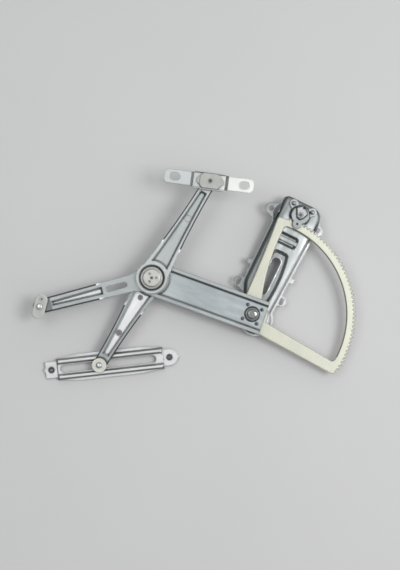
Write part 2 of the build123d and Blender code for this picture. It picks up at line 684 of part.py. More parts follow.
def hub_rivet():
    """The hollow rivet through the hub, closed by a stepped cap with three dimples."""
    top_z = UPPER_AUX_Z + AUX_SHEET
    foot_z = LOWER_AUX_Z - HUB_FOOT_HEIGHT
    body = post(HUB, HUB_CORE_RADIUS, foot_z, top_z - foot_z)
    body += post(HUB, HUB_BUSH_RADIUS, foot_z, HUB_FOOT_HEIGHT)
    body += post(HUB, HUB_CAP_RADIUS, top_z, HUB_CAP_HEIGHT)
    body += raised(disc(HUB, HUB_CROWN_RADIUS), top_z + HUB_CAP_HEIGHT, HUB_CROWN_HEIGHT, HUB_CROWN_DRAFT)
    body -= post(HUB, HUB_CENTRE_HOLE, foot_z, top_z + HUB_CAP_HEIGHT + HUB_CROWN_HEIGHT - foot_z)
    dimple_z = top_z + HUB_CAP_HEIGHT + HUB_CROWN_HEIGHT - HUB_DIMPLE_DEPTH
    for index in range(HUB_DIMPLE_COUNT):
        point = HUB + polar(HUB_DIMPLE_CIRCLE, 360 / HUB_DIMPLE_COUNT * index)
        body -= post(point, HUB_DIMPLE_RADIUS, dimple_z, HUB_DIMPLE_DEPTH)
    return body


# ---- guide rail and the slider that runs in it ----


def rail_foot(wall_start, wall_end):
    """The rail's flat metal at panel level: a tab with a nib at each end and wings along the sides."""
    left_end = -RAIL_HOLE_LEFT - RAIL_TAB_END
    right_end = RAIL_HOLE_RIGHT + RAIL_TAB_HALF
    foot = strip(left_end, wall_start + RAIL_WALL_MARGIN, RAIL_TAB_HALF)
    foot += strip(wall_end - RAIL_WALL_MARGIN, RAIL_HOLE_RIGHT, RAIL_TAB_HALF)
    foot += Pos(RAIL_HOLE_RIGHT, 0) * Circle(RAIL_TAB_HALF)
    foot += strip(left_end - RAIL_NIB_LENGTH, -RAIL_HOLE_LEFT, RAIL_NIB_WIDTH / 2)
    foot += strip(RAIL_HOLE_RIGHT, right_end + RAIL_NIB_LENGTH, RAIL_NIB_WIDTH / 2)
    wing_start = wall_start + RAIL_WING_MARGIN
    wing_end = wall_end - RAIL_WING_MARGIN
    upper = [(wall_start, RAIL_FOOT_HALF), (wing_start, RAIL_WING_HALF)]
    upper += [(wing_end, RAIL_WING_HALF), (wall_end, RAIL_FOOT_HALF)]
    lower = [(x, -y) for x, y in reversed(upper)]
    return foot + make_face(Polyline(*upper, *lower, close=True))


def guide_rail():
    """The pressed rail: low feet, two raised ribs and a slotted channel between them."""
    frame = place(LOWER_END, RAIL_ANGLE)
    wall_start = -RAIL_HOLE_LEFT + RAIL_WALL_MARGIN
    wall_end = RAIL_HOLE_RIGHT - RAIL_WALL_MARGIN
    hat = frame * strip(wall_start, wall_end, RAIL_FOOT_HALF)
    hat_inner = offset(hat, amount=-RAIL_SHEET)
    channel = frame * strip(wall_start - RAIL_HEIGHT, wall_end + RAIL_HEIGHT, RAIL_CHANNEL_HALF)
    channel_metal = offset(channel, amount=RAIL_SHEET)
    metal = sunk(channel_metal, RAIL_HEIGHT, RAIL_HEIGHT - RAIL_WEB_Z, RAIL_CHANNEL_DRAFT)
    ribs = raised(hat, 0, RAIL_HEIGHT, RAIL_DRAFT)
    body = slab(frame * rail_foot(wall_start, wall_end), 0, RAIL_SHEET) + ribs
    body -= raised(hat_inner, 0, RAIL_HEIGHT - RAIL_SHEET, RAIL_DRAFT)
    body += metal & ribs
    body -= sunk(channel, RAIL_HEIGHT, RAIL_CHANNEL_DEPTH, RAIL_CHANNEL_DRAFT)
    slot_start = wall_start + RAIL_SLOT_LEFT_MARGIN
    slot_end = wall_end - RAIL_SLOT_RIGHT_MARGIN
    slot = frame * long_slot(slot_start, slot_end, RAIL_SLOT_WIDTH)
    holes = [slab(slot, RAIL_WEB_Z, RAIL_SHEET)]
    holes += [post(point, RAIL_NUT_RADIUS, 0, RAIL_SHEET) for point in rail_holes()]
    return body - holes


def rail_holes():
    """Centres of the two fixing holes of the rail."""
    return [LOWER_END + polar(-RAIL_HOLE_LEFT, RAIL_ANGLE), LOWER_END + polar(RAIL_HOLE_RIGHT, RAIL_ANGLE)]


def rail_nut(point):
    """A round nut pressed into a rail tab, flush with its panel side."""
    body = post(point, RAIL_NUT_RADIUS, 0, RAIL_NUT_HEIGHT)
    return body - post(point, RAIL_THREAD_RADIUS, 0, RAIL_NUT_HEIGHT)


def rail_slider():
    """The nylon slider: a neck through the slot, a foot under the web and a flange over the ribs."""
    frame = place(LOWER_END, RAIL_ANGLE)
    neck_half = RAIL_SLOT_WIDTH / 2 - SIDE_GAP
    foot_z = RAIL_WEB_Z - FACE_GAP - SLIDER_FOOT_THICKNESS
    flange_z = RAIL_HEIGHT + FACE_GAP
    top_z = LOWER_AUX_Z - FACE_GAP
    body = slab(frame * SlotOverall(SLIDER_LENGTH, 2 * neck_half), foot_z, top_z - foot_z)
    foot_half = neck_half + SLIDER_FOOT_MARGIN
    body += slab(frame * Rectangle(SLIDER_LENGTH, 2 * foot_half), foot_z, SLIDER_FOOT_THICKNESS)
    body += post(LOWER_END, EYE_RADIUS, flange_z, top_z - flange_z)
    return body - post(LOWER_END, RAIL_PIN_RADIUS + RUNNING_FIT, foot_z, top_z - foot_z)


def rail_cap():
    """The nylon washer on the eye of the lower half."""
    body = post(LOWER_END, EYE_RADIUS, LOWER_AUX_Z + AUX_SHEET, RAIL_CAP_HEIGHT)
    body = chamfer(body.edges().group_by(Axis.Z)[-1], RAIL_CAP_CHAMFER)
    return body - post(LOWER_END, RAIL_PIN_RADIUS, LOWER_AUX_Z + AUX_SHEET, RAIL_CAP_HEIGHT)


def rail_pin():
    """The rivet through the lower eye and the slider, headed in the slider's foot."""
    foot_z = RAIL_WEB_Z - FACE_GAP - SLIDER_FOOT_THICKNESS
    top_z = LOWER_AUX_Z + AUX_SHEET + RAIL_CAP_HEIGHT
    body = post(LOWER_END, RAIL_PIN_RADIUS, foot_z, top_z - foot_z)
    return body + rivet_head(LOWER_END, RAIL_PIN_HEAD, top_z, RAIL_HEAD_HEIGHT)


# ---- glass bracket on the upper half ----


def bracket_strip(width):
    """The bracket's bent strip, as seen from its side, over a width."""
    floor_z = BRACKET_Z + BRACKET_SHEET
    bends = [
        (-BRACKET_LEFT, BRACKET_TOP),
        (-BRACKET_STEP_LEFT, BRACKET_TOP),
        (BRACKET_STEP_RUN - BRACKET_STEP_LEFT, floor_z),
        (BRACKET_STEP_RIGHT - BRACKET_STEP_RUN, floor_z),
        (BRACKET_STEP_RIGHT, BRACKET_TOP),
        (BRACKET_RIGHT, BRACKET_TOP),
    ]
    under = [(x, z - BRACKET_SHEET) for x, z in reversed(bends)]
    side = make_face(Polyline(*bends, *under, close=True))
    return extrude(Rot(90, 0, 0) * side, amount=width / 2, both=True)


def glass_bracket():
    """The bracket that the glass channel bolts to, with a flanged tray for the pivot block."""
    length = BRACKET_LEFT + BRACKET_RIGHT
    middle = (BRACKET_RIGHT - BRACKET_LEFT) / 2
    tray_length = BRACKET_STEP_LEFT + BRACKET_STEP_RIGHT - 2 * BRACKET_STEP_RUN
    tray_middle = Pos((BRACKET_STEP_RIGHT - BRACKET_STEP_LEFT) / 2, 0)
    bar = chamfer(Rectangle(length, 2 * BRACKET_TAB_HALF).vertices(), BRACKET_CORNER)
    outline = Pos(middle, 0) * bar + tray_middle * Rectangle(tray_length, 2 * BRACKET_TRAY_HALF)
    body = bracket_strip(2 * BRACKET_TRAY_HALF) & slab(outline, BRACKET_Z, BRACKET_TOP - BRACKET_Z)
    flange_height = BRACKET_PRESS_DEPTH + BRACKET_SHEET - BRACKET_FLANGE_DROP
    for side in (-1, 1):
        flange = Pos(0, side * (BRACKET_TRAY_HALF - BRACKET_FLANGE / 2)) * Rectangle(tray_length, BRACKET_FLANGE)
        body += slab(tray_middle * flange, BRACKET_Z, flange_height)
    slot = SlotOverall(BRACKET_SLOT_LENGTH, BRACKET_SLOT_WIDTH)
    for distance in (-BRACKET_SLOT_LEFT, BRACKET_SLOT_RIGHT):
        body -= slab(Pos(distance, 0) * slot, BRACKET_TOP - BRACKET_SHEET, BRACKET_SHEET)
    body -= post(PIVOT, BRACKET_PIN_RADIUS + RUNNING_FIT, BRACKET_Z, BRACKET_SHEET)
    return place(UPPER_END, BRACKET_ANGLE) * body


def pivot_block():
    """The nylon block held in the bracket's tray, with a round nose at each end."""
    half = BRACKET_TRAY_HALF - BRACKET_FLANGE - SIDE_GAP
    z = BRACKET_Z + BRACKET_SHEET
    body = slab(Rectangle(BLOCK_LENGTH, 2 * half), z, BRACKET_PRESS_DEPTH)
    body = chamfer(body.edges().filter_by(Axis.Z), BLOCK_CHAMFER)
    body = chamfer(body.edges().group_by(Axis.Z)[-1], BLOCK_EDGE)
    nose_centre = BLOCK_NOSE_REACH - BLOCK_NOSE_RADIUS
    for side in (-1, 1):
        body += slab(Pos(side * nose_centre, 0) * Circle(BLOCK_NOSE_RADIUS), z, BLOCK_NOSE_HEIGHT)
    body -= post(PIVOT, BRACKET_PIN_RADIUS + RUNNING_FIT, z, BRACKET_PRESS_DEPTH)
    return place(UPPER_END, BRACKET_ANGLE) * body


def bracket_pin():
    """The rivet that carries the bracket, headed under the upper half's eye and cupped on top."""
    eye_z = UPPER_AUX_TOP - AUX_SHEET
    body = post(UPPER_END, BRACKET_PIN_RADIUS, eye_z, BRACKET_TOP - eye_z)
    body -= post(UPPER_END, BRACKET_PIN_CUP, BRACKET_TOP - BRACKET_PIN_CUP, BRACKET_PIN_CUP)
    return body + post(UPPER_END, BRACKET_PIN_HEAD, eye_z - PIN_HEAD_HEIGHT, PIN_HEAD_HEIGHT)


# ---- base plate: drawn with local X from the lift pivot towards the drive ----


def on_plate(station, across):
    """Location on the base plate: a distance towards the drive, and one across from its mid line."""
    return place(PIVOT, DRIVE_ANGLE) * Pos(station, PLATE_AXIS_OFFSET + across)


def plate_ear(station, across, radius, root, side):
    """A round-ended ear that narrows from its root under the plate's wall, on the side of +1 or -1."""
    wall = across - side * root
    corners = [(station - root, wall), (station - radius, across), (station + radius, across), (station + root, wall)]
    return make_face(Polyline(*corners, close=True)) + Pos(station, across) * Circle(radius)


def plate_ears():
    """The flat ears at panel level: a lug at each corner and a nib on each side."""
    ears = []
    for index, side in enumerate((1, -1)):
        upper = side * UPPER_LUG_REACH[index]
        lower = side * LOWER_LUG_REACH[index]
        ears.append(plate_ear(UPPER_LUG_STATION, upper, UPPER_LUG_RADIUS, UPPER_LUG_ROOT, side))
        ears.append(plate_ear(LOWER_LUG_STATION, lower, LOWER_LUG_RADIUS, LOWER_LUG_ROOT, side))
        nib = Rectangle(NIB_LENGTH, NIB_REACH[index])
        ears.append(Pos(NIB_STATION, side * NIB_REACH[index] / 2) * nib)
    return ears


def plate_sides(rim):
    """The plate's outline above its tail, with both sides drawn in by the foot's rim."""
    nose = CENTRE_DISTANCE + PLATE_NOSE
    left = PLATE_LEFT - rim
    return rounded_polygon(
        (nose, left, PLATE_LEFT_CORNER - rim),
        (PLATE_LEFT_SHOULDER, left, PLATE_LEFT_SHOULDER_ROUND - rim),
        (PLATE_SIDES_START, PLATE_TAIL_LEFT - rim, PLATE_SIDES_CORNER),
        (PLATE_SIDES_START, rim - PLATE_RIGHT_AT_TAIL, PLATE_SIDES_CORNER),
        (nose, rim - PLATE_RIGHT_AT_NOSE, PLATE_RIGHT_CORNER - rim),
    )


def plate_tail(rim):
    """The round tail of the plate, drawn in by the foot's rim."""
    return Pos(*PLATE_TAIL_CENTRE) * Circle(PLATE_TAIL_RADIUS - rim)


def folded(face, height):
    """A tray raised from a foot outline: drafted walls under a bevelled fold."""
    walls = raised(face, 0, height - PLATE_FOLD, PLATE_DRAFT)
    top = walls.faces().sort_by(Axis.Z)[-1]
    return walls + extrude(top, amount=PLATE_FOLD, dir=(0, 0, 1), taper=PLATE_FOLD_DRAFT)


def plate_shell():
    """The plate's raised tray on its flat foot, hollow underneath."""
    faces = [plate_sides(PLATE_RIM), plate_tail(PLATE_RIM)]
    outer = [folded(face, PLATE_HEIGHT) for face in faces]
    inner = [folded(offset(face, amount=-PLATE_SHEET), PLATE_HEIGHT - PLATE_SHEET) for face in faces]
    foot = plate_sides(0) + plate_tail(0) + plate_ears()
    return slab(foot, 0, PLATE_SHEET) + outer - inner


def plate_holes():
    """Everything that is cut through the base plate, about its own axes."""
    window = Pos(0, WINDOW_OFFSET) * long_slot(WINDOW_START, WINDOW_END, WINDOW_WIDTH)
    holes = [slab(window, 0, PLATE_HEIGHT)]
    for index, side in enumerate((1, -1)):
        hole = Pos(UPPER_LUG_STATION, side * UPPER_LUG_REACH[index]) * Circle(UPPER_LUG_HOLE)
        slot = Pos(LOWER_LUG_STATION, side * LOWER_LUG_REACH[index]) * SlotOverall(LUG_SLOT_LENGTH, LUG_SLOT_WIDTH)
        holes += [slab(hole, 0, PLATE_SHEET), slab(slot, 0, PLATE_SHEET)]
    return holes


def plate_forms():
    """The windowed well and the boss that are pressed down into the plate, as metal and hollow pairs."""
    well = Pos(0, WELL_OFFSET) * rounded_bar(WELL_FOOT, WELL_WAIST, WELL_HEAD, WELL_CORNER)
    boss = RectangleRounded(PLATE_BOSS_LENGTH, 2 * PLATE_BOSS_HALF, PLATE_BOSS_CORNER)
    forms = ((well, WELL_DEPTH), (Pos(PLATE_BOSS_STATION, 0) * boss, PLATE_BOSS_DEPTH))
    return [recess(face, PLATE_HEIGHT, PLATE_SHEET, depth, PLATE_FORM_DRAFT) for face, depth in forms]


def base_plate():
    """The pressed base plate: a raised tray on a flat rim, with lugs, a windowed well and a ribbed boss."""
    body = plate_shell()
    for metal, hollow in plate_forms():
        body = body + metal - hollow
    rib = Pos(PLATE_BOSS_STATION, 0) * Rectangle(PLATE_STRIP_WIDTH, 2 * PLATE_BOSS_HALF)
    rib_height = PLATE_BOSS_DEPTH + PLATE_SHEET - PLATE_STRIP_DROP
    body += slab(rib, PLATE_HEIGHT - PLATE_BOSS_DEPTH - PLATE_SHEET, rib_height)
    body = on_plate(0, 0) * (body - plate_holes())
    body -= [post(PIVOT, STUD_RADIUS, 0, PLATE_HEIGHT), post(DRIVE, DRIVE_BUSH_RADIUS, 0, PLATE_HEIGHT)]
    return body - [post(point, BRIDGE_RIVET_RADIUS, 0, PLATE_HEIGHT) for point in bridge_rivet_points()]


# ---- drive: pinion and spindle, bush, brake drum and bridge ----


def bridge_rivet_points():
    """Centres of the two rivets that hold the bridge on the base plate."""
    return [DRIVE + polar(reach, angle) for reach, angle in BRIDGE_RIVETS]


def drive_pinion():
    """The pinion with its spindle, which ends in a crank seat on the panel side."""
    mesh_z = SECTOR_Z - PINION_EXTRA
    height = SECTOR_SHEET + 2 * PINION_EXTRA
    tooth = tooth_face(PINION_PITCH_RADIUS, PINION_TEETH, PINION_ROOT_RADIUS, PINION_TIP_RADIUS)
    body = post(PIVOT, PINION_ROOT_RADIUS, mesh_z, height)
    body += [
        Rot(0, 0, DRIVE_ANGLE + 180 + index * 360 / PINION_TEETH) * slab(tooth, mesh_z, height)
        for index in range(PINION_TEETH)
    ]
    spindle = post(PIVOT, SPINDLE_RADIUS, -SPINDLE_REACH, SPINDLE_REACH)
    spindle = chamfer(spindle.edges().group_by(Axis.Z)[0], SPINDLE_CHAMFER)
    spindle += post(PIVOT, JOURNAL_RADIUS, 0, mesh_z)
    groove_z = SPINDLE_GROOVE_MARGIN - SPINDLE_REACH
    groove = post(PIVOT, SPINDLE_RADIUS, groove_z, SPINDLE_GROOVE_WIDTH)
    groove -= post(PIVOT, SPINDLE_RADIUS - SPINDLE_GROOVE_DEPTH, groove_z, SPINDLE_GROOVE_WIDTH)
    top_z = BRIDGE_Z + BRIDGE_CROWN_HEIGHT + BRIDGE_SHEET
    body = body + spindle - groove + post(PIVOT, SHAFT_TOP_RADIUS, mesh_z, top_z - mesh_z)
    body -= post(PIVOT, SHAFT_TOP_HOLE, top_z - BRIDGE_SHEET, BRIDGE_SHEET)
    return Pos(DRIVE.X, DRIVE.Y, 0) * body


def drive_bush():
    """The flanged bush in the base plate that the spindle turns in."""
    flange_z = PLATE_HEIGHT
    body = post(DRIVE, DRIVE_BUSH_RADIUS, PLATE_HEIGHT - PLATE_SHEET, PLATE_SHEET)
    body += post(DRIVE, DRIVE_BUSH_FLANGE, flange_z, DRIVE_BUSH_FLANGE_HEIGHT)
    return body - post(DRIVE, JOURNAL_RADIUS + RUNNING_FIT, 0, PLATE_HEIGHT + DRIVE_BUSH_FLANGE_HEIGHT)


def brake_drum():
    """The closed drum of the wrap-spring brake, under the base plate."""
    body = post(DRIVE, DRUM_RADIUS, 0, PLATE_HEIGHT - PLATE_SHEET)
    body = chamfer(body.edges().group_by(Axis.Z)[0], DRUM_CHAMFER)
    return body - post(DRIVE, JOURNAL_RADIUS + RUNNING_FIT, 0, PLATE_HEIGHT)


def bridge_foot(point):
    """A flat foot of the bridge that reaches from the drive axis to one rivet."""
    across, along = point.X - DRIVE.X, point.Y - DRIVE.Y
    arm = place(DRIVE, math.degrees(math.atan2(along, across)))
    return arm * strip(0, math.hypot(across, along), BRIDGE_FOOT_RADIUS) + disc(point, BRIDGE_FOOT_RADIUS)


def bridge_crown(wall, height):
    """The shield-shaped crown of the bridge with drafted sides, drawn in by a wall."""
    face = rounded_polygon(*[(x, y, BRIDGE_CROWN_CORNER) for x, y in BRIDGE_CROWN])
    if wall:
        face = offset(face, amount=-wall)
    return Pos(DRIVE.X, DRIVE.Y, 0) * raised(face, BRIDGE_Z, height, BRIDGE_CROWN_DRAFT)


def pinion_bridge():
    """The pressed bridge over the pinion: two riveted feet, a drafted cap, a shield-shaped crown and a lobe."""
    feet = [slab(bridge_foot(point), PLATE_HEIGHT, BRIDGE_SHEET) for point in bridge_rivet_points()]
    cap_height = BRIDGE_Z - PLATE_HEIGHT + BRIDGE_SHEET
    inner_height = cap_height - BRIDGE_SHEET
    body = raised(disc(DRIVE, BRIDGE_CAP_RADIUS), PLATE_HEIGHT, cap_height, BRIDGE_DRAFT) + feet
    body -= raised(disc(DRIVE, BRIDGE_CAP_RADIUS - BRIDGE_SHEET), PLATE_HEIGHT, inner_height, BRIDGE_DRAFT)
    body -= post(PIVOT, SECTOR_TIP_RADIUS + BRIDGE_CAP_GAP, PLATE_HEIGHT, inner_height)
    lobe_centre = DRIVE + polar(BRIDGE_LOBE_REACH, BRIDGE_LOBE_ANGLE)
    body += post(lobe_centre, BRIDGE_LOBE_RADIUS, BRIDGE_Z, BRIDGE_SHEET)
    body += bridge_crown(0, BRIDGE_CROWN_HEIGHT + BRIDGE_SHEET)
    body -= bridge_crown(BRIDGE_CROWN_WALL, BRIDGE_CROWN_HEIGHT)
    pilot = DRIVE + polar(BRIDGE_PILOT_REACH, BRIDGE_PILOT_ANGLE)
    dimple_z = BRIDGE_Z + BRIDGE_SHEET - BRIDGE_DIMPLE_DEPTH
    holes = [post(DRIVE, SHAFT_TOP_RADIUS + RUNNING_FIT, BRIDGE_Z, BRIDGE_CROWN_HEIGHT + BRIDGE_SHEET)]
    holes.append(post(pilot, BRIDGE_PILOT_RADIUS, BRIDGE_Z, BRIDGE_CROWN_HEIGHT + BRIDGE_SHEET))
    holes.append(post(lobe_centre, BRIDGE_DIMPLE_RADIUS, dimple_z, BRIDGE_DIMPLE_DEPTH))
    for point in bridge_rivet_points():
        holes.append(post(point, BRIDGE_RIVET_RADIUS, PLATE_HEIGHT, BRIDGE_SHEET))
    return body - holes


def bridge_rivet(point):
    """A rivet through one bridge foot and the base plate."""
    foot_z = PLATE_HEIGHT - PLATE_SHEET
    head_z = PLATE_HEIGHT + BRIDGE_SHEET
    body = post(point, BRIDGE_RIVET_RADIUS, foot_z, head_z - foot_z)
    return body + rivet_head(point, BRIDGE_RIVET_HEAD, head_z, PIN_HEAD_HEIGHT)


# ---- export ----
def export_piece(name, body):
    """Write one piece with the drive axis as the origin of X and Y."""
    moved = Pos(-DRIVE.X, -DRIVE.Y, 0) * body
    moved.label = name
    export_step(moved, "parts/" + name + ".step")


def build():
    """Make every piece of the regulator and write it to its own file."""
    os.makedirs("parts", exist_ok=True)
    pieces = {
        "base_plate": base_plate(),
        "pinion_bridge": pinion_bridge(),
        "drive_bush": drive_bush(),
        "brake_drum": brake_drum(),
        "drive_pinion": drive_pinion(),
        "pivot_stud": pivot_stud(),
        "pivot_washer": pivot_washer(),
        "sector_gear": sector_gear(),
        "main_arm": main_arm(),
        "main_arm_shoe": main_arm_shoe(),
        "shoe_pin": shoe_pin(),
        "hub_bush": hub_bush(),
        "hub_rivet": hub_rivet(),
        "aux_arm_upper": aux_arm_upper(),
        "aux_arm_lower": aux_arm_lower(),
        "guide_rail": guide_rail(),
        "rail_slider": rail_slider(),
        "rail_cap": rail_cap(),
        "rail_pin": rail_pin(),
        "glass_bracket": glass_bracket(),
        "pivot_block": pivot_block(),
        "bracket_pin": bracket_pin(),
    }
    for index, rivet in enumerate(arm_rivets(), start=1):
        pieces[f"arm_rivet_{index}"] = rivet
    for side, point in zip(("left", "right"), rail_holes()):
        pieces[f"rail_nut_{side}"] = rail_nut(point)
    for side, point in zip(("left", "right"), bridge_rivet_points()):
        pieces[f"bridge_rivet_{side}"] = bridge_rivet(point)
    for name, body in pieces.items():
        export_piece(name, body)


build()
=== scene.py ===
"""Studio scene of a crossed-arm door window regulator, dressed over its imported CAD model.

Lengths are in metres and angles in degrees. Shares and shades run from 0 to 1.
"""

import logging
import math
from dataclasses import dataclass, field
from enum import Enum
from typing import Any, Mapping, Sequence

import bmesh
import bpy
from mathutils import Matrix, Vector


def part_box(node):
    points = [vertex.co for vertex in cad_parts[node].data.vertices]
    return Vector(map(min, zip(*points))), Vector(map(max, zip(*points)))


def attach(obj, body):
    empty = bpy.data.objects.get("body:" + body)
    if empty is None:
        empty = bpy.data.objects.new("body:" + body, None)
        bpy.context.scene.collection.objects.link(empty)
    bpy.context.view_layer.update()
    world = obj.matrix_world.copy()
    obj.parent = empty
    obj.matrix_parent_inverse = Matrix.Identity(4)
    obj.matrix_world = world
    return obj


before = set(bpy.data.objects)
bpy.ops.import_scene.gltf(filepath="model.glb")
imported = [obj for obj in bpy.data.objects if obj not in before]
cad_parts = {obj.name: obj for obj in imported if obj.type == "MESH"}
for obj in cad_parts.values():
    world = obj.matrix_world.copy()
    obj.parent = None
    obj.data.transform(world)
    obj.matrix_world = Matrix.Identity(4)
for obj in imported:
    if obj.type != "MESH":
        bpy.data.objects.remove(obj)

LOG = logging.getLogger("regulator")
Colour = tuple[float, float, float]
Pair = tuple[float, float]


class Body(Enum):
    """The rigid bodies of the linkage."""

    BASE = "base"
    PINION = "pinion"
    LIFT = "lift"
    CROSS = "aux"
    SHOE = "shoe"
    SLIDER = "slider"
    RAIL = "rail"
    BRACKET = "bracket"


class Slot(Enum):
    """The record's material slots, kept as a field on the scene's own pieces that nothing reads."""

    BRIGHT = "zinc_bright"
    PLATE = "zinc_plate"


class Kind(Enum):
    """The shader nodes that the finishes are made of."""

    SURFACE = "ShaderNodeBsdfPrincipled"
    OUTPUT = "ShaderNodeOutputMaterial"
    COORDINATE = "ShaderNodeTexCoord"
    MAPPING = "ShaderNodeMapping"
    NOISE = "ShaderNodeTexNoise"
    MATH = "ShaderNodeMath"
    VECTOR_MATH = "ShaderNodeVectorMath"
    RANGE = "ShaderNodeMapRange"
    MIX = "ShaderNodeMix"
    SPLIT = "ShaderNodeSeparateXYZ"
    BUMP = "ShaderNodeBump"
    BEVEL = "ShaderNodeBevel"
    OCCLUSION = "ShaderNodeAmbientOcclusion"
    GEOMETRY = "ShaderNodeNewGeometry"
    BACKGROUND = "ShaderNodeBackground"
    WORLD_OUTPUT = "ShaderNodeOutputWorld"


class Op(Enum):
    """The arithmetic that shader expressions use."""

    ADD = "ADD"
    SUBTRACT = "SUBTRACT"
    MULTIPLY = "MULTIPLY"
    DIVIDE = "DIVIDE"
    POWER = "POWER"
    ABSOLUTE = "ABSOLUTE"


class Tree:
    """A node tree with one way to make any node."""

    def __init__(self, nodes: bpy.types.NodeTree) -> None:
        """Empty the tree and keep it.

        Args:
            nodes: The node tree of a material or of the world.
        """
        self.nodes = nodes
        nodes.nodes.clear()

    def add(
        self,
        kind: Kind,
        settings: Mapping[str, Any] | None = None,
        inputs: Mapping[str | int, Any] | None = None,
    ) -> bpy.types.Node:
        """Make a node, set it up and feed its sockets.

        Args:
            kind: The node's type.
            settings: Properties that are set before the sockets.
            inputs: Socket names or numbers with a value or a Signal each.

        Returns:
            The new node.
        """
        node = self.nodes.nodes.new(kind.value)
        for name, value in (settings or {}).items():
            setattr(node, name, value)
        for name, value in (inputs or {}).items():
            self.feed(node.inputs[name], value)
        return node

    def feed(self, socket: bpy.types.NodeSocket, value: Any) -> None:
        """Link a Signal to a socket, or set the socket's own value.

        Args:
            socket: The input socket.
            value: A Signal, a number, a colour or a vector.
        """
        if isinstance(value, Signal):
            self.nodes.links.new(value.socket, socket)
        elif socket.type == "RGBA" and len(value) == 3:
            socket.default_value = (*value, 1.0)
        else:
            socket.default_value = value

    def signal(self, node: bpy.types.Node, output: str | int = 0) -> "Signal":
        """The named output of a node as a Signal."""
        return Signal(self, node.outputs[output])

    def mix(self, share: Any, low: Any, high: Any) -> "Signal":
        """Blend two colours.

        Args:
            share: How much of the second colour shows, from 0 to 1.
            low: The colour at 0.
            high: The colour at 1.

        Returns:
            The blended colour.
        """
        node = self.add(Kind.MIX, {"data_type": "RGBA"}, {0: share, 6: low, 7: high})
        return self.signal(node, 2)

    def turned(self, place: "Signal", degrees: float) -> "Signal":
        """Coordinates turned about Z so that X runs along a part.

        Args:
            place: The coordinates to turn.
            degrees: The part's direction in the frame.

        Returns:
            The turned coordinates.
        """
        turn = (0.0, 0.0, -math.radians(degrees))
        return self.signal(self.add(Kind.MAPPING, {}, {"Vector": place, "Rotation": turn}))


@dataclass(frozen=True)
class Signal:
    """A shader socket that takes part in Python expressions."""

    tree: Tree
    socket: bpy.types.NodeSocket

    def combine(self, op: Op, *values: Any) -> "Signal":
        """Make the Math node of one operation on the given values, in order."""
        node = self.tree.add(Kind.MATH, {"operation": op.value}, dict(enumerate(values)))
        return self.tree.signal(node)

    def __add__(self, other: Any) -> "Signal":
        """Sum."""
        return self.combine(Op.ADD, self, other)

    __radd__ = __add__

    def __sub__(self, other: Any) -> "Signal":
        """Difference."""
        return self.combine(Op.SUBTRACT, self, other)

    def __rsub__(self, other: Any) -> "Signal":
        """Difference with this signal taken off."""
        return self.combine(Op.SUBTRACT, other, self)

    def __mul__(self, other: Any) -> "Signal":
        """Product."""
        return self.combine(Op.MULTIPLY, self, other)

    __rmul__ = __mul__

    def __truediv__(self, other: Any) -> "Signal":
        """Quotient."""
        return self.combine(Op.DIVIDE, self, other)

    def __rtruediv__(self, other: Any) -> "Signal":
        """Quotient with this signal as divisor."""
        return self.combine(Op.DIVIDE, other, self)

    def __pow__(self, other: Any) -> "Signal":
        """Power."""
        return self.combine(Op.POWER, self, other)

    def __rpow__(self, other: Any) -> "Signal":
        """Power with this signal as exponent."""
        return self.combine(Op.POWER, other, self)

    def __abs__(self) -> "Signal":
        """Size without sign."""
        return self.combine(Op.ABSOLUTE, self)

    def step(self, low: float, high: float) -> "Signal":
        """A smooth step.

        Args:
            low: The value that gives 0.
            high: The value that gives 1.

        Returns:
            The step, from 0 to 1.
        """
        node = self.tree.add(
            Kind.RANGE,
            {"interpolation_type": "SMOOTHSTEP"},
            {"Value": self, "From Min": low, "From Max": high},
        )
        return self.tree.signal(node)

    def past(self, edge: float, blur: float) -> "Signal":
        """A mask with a soft border.

        Args:
            edge: The value at the middle of the border.
            blur: How far the border reaches to either side.

        Returns:
            0 below the edge and 1 above it.
        """
        return self.step(edge - blur, edge + blur)


@dataclass(frozen=True)
class Pattern:
    """A layer of soft noise."""

    scale: float
    detail: float = 3.0
    stretch: float = 1.0
    roughness: float = 0.55

    def over(self, place: Signal) -> Signal:
        """Lay the noise over coordinates.

        Args:
            place: The coordinates. The noise is longer along X by its stretch.

        Returns:
            A value about 0.5.
        """
        tree = place.tree
        scale = (1.0 / self.stretch, 1.0, 1.0)
        laid = tree.signal(tree.add(Kind.MAPPING, {}, {"Vector": place, "Scale": scale}))
        sockets = {
            "Vector": laid, "Scale": self.scale, "Detail": self.detail, "Roughness": self.roughness,
        }
        return tree.signal(tree.add(Kind.NOISE, {}, sockets), "Fac")


@dataclass(frozen=True)
class Relief:
    """A bump: how strongly it shows and how deep it is in metres."""

    strength: float
    depth: float

    def press(self, height: Signal, normal: Signal) -> Signal:
        """Press a pattern into a surface.

        Args:
            height: The pattern.
            normal: The surface's normal before it.

        Returns:
            The normal with the pattern in it.
        """
        tree = height.tree
        sockets = {
            "Strength": self.strength, "Distance": self.depth, "Height": height, "Normal": normal,
        }
        return tree.signal(tree.add(Kind.BUMP, {}, sockets))


def scaled(colour: Colour, factor: float) -> Colour:
    """A colour made darker or lighter, never above 1."""
    return tuple(min(1.0, part * factor) for part in colour)


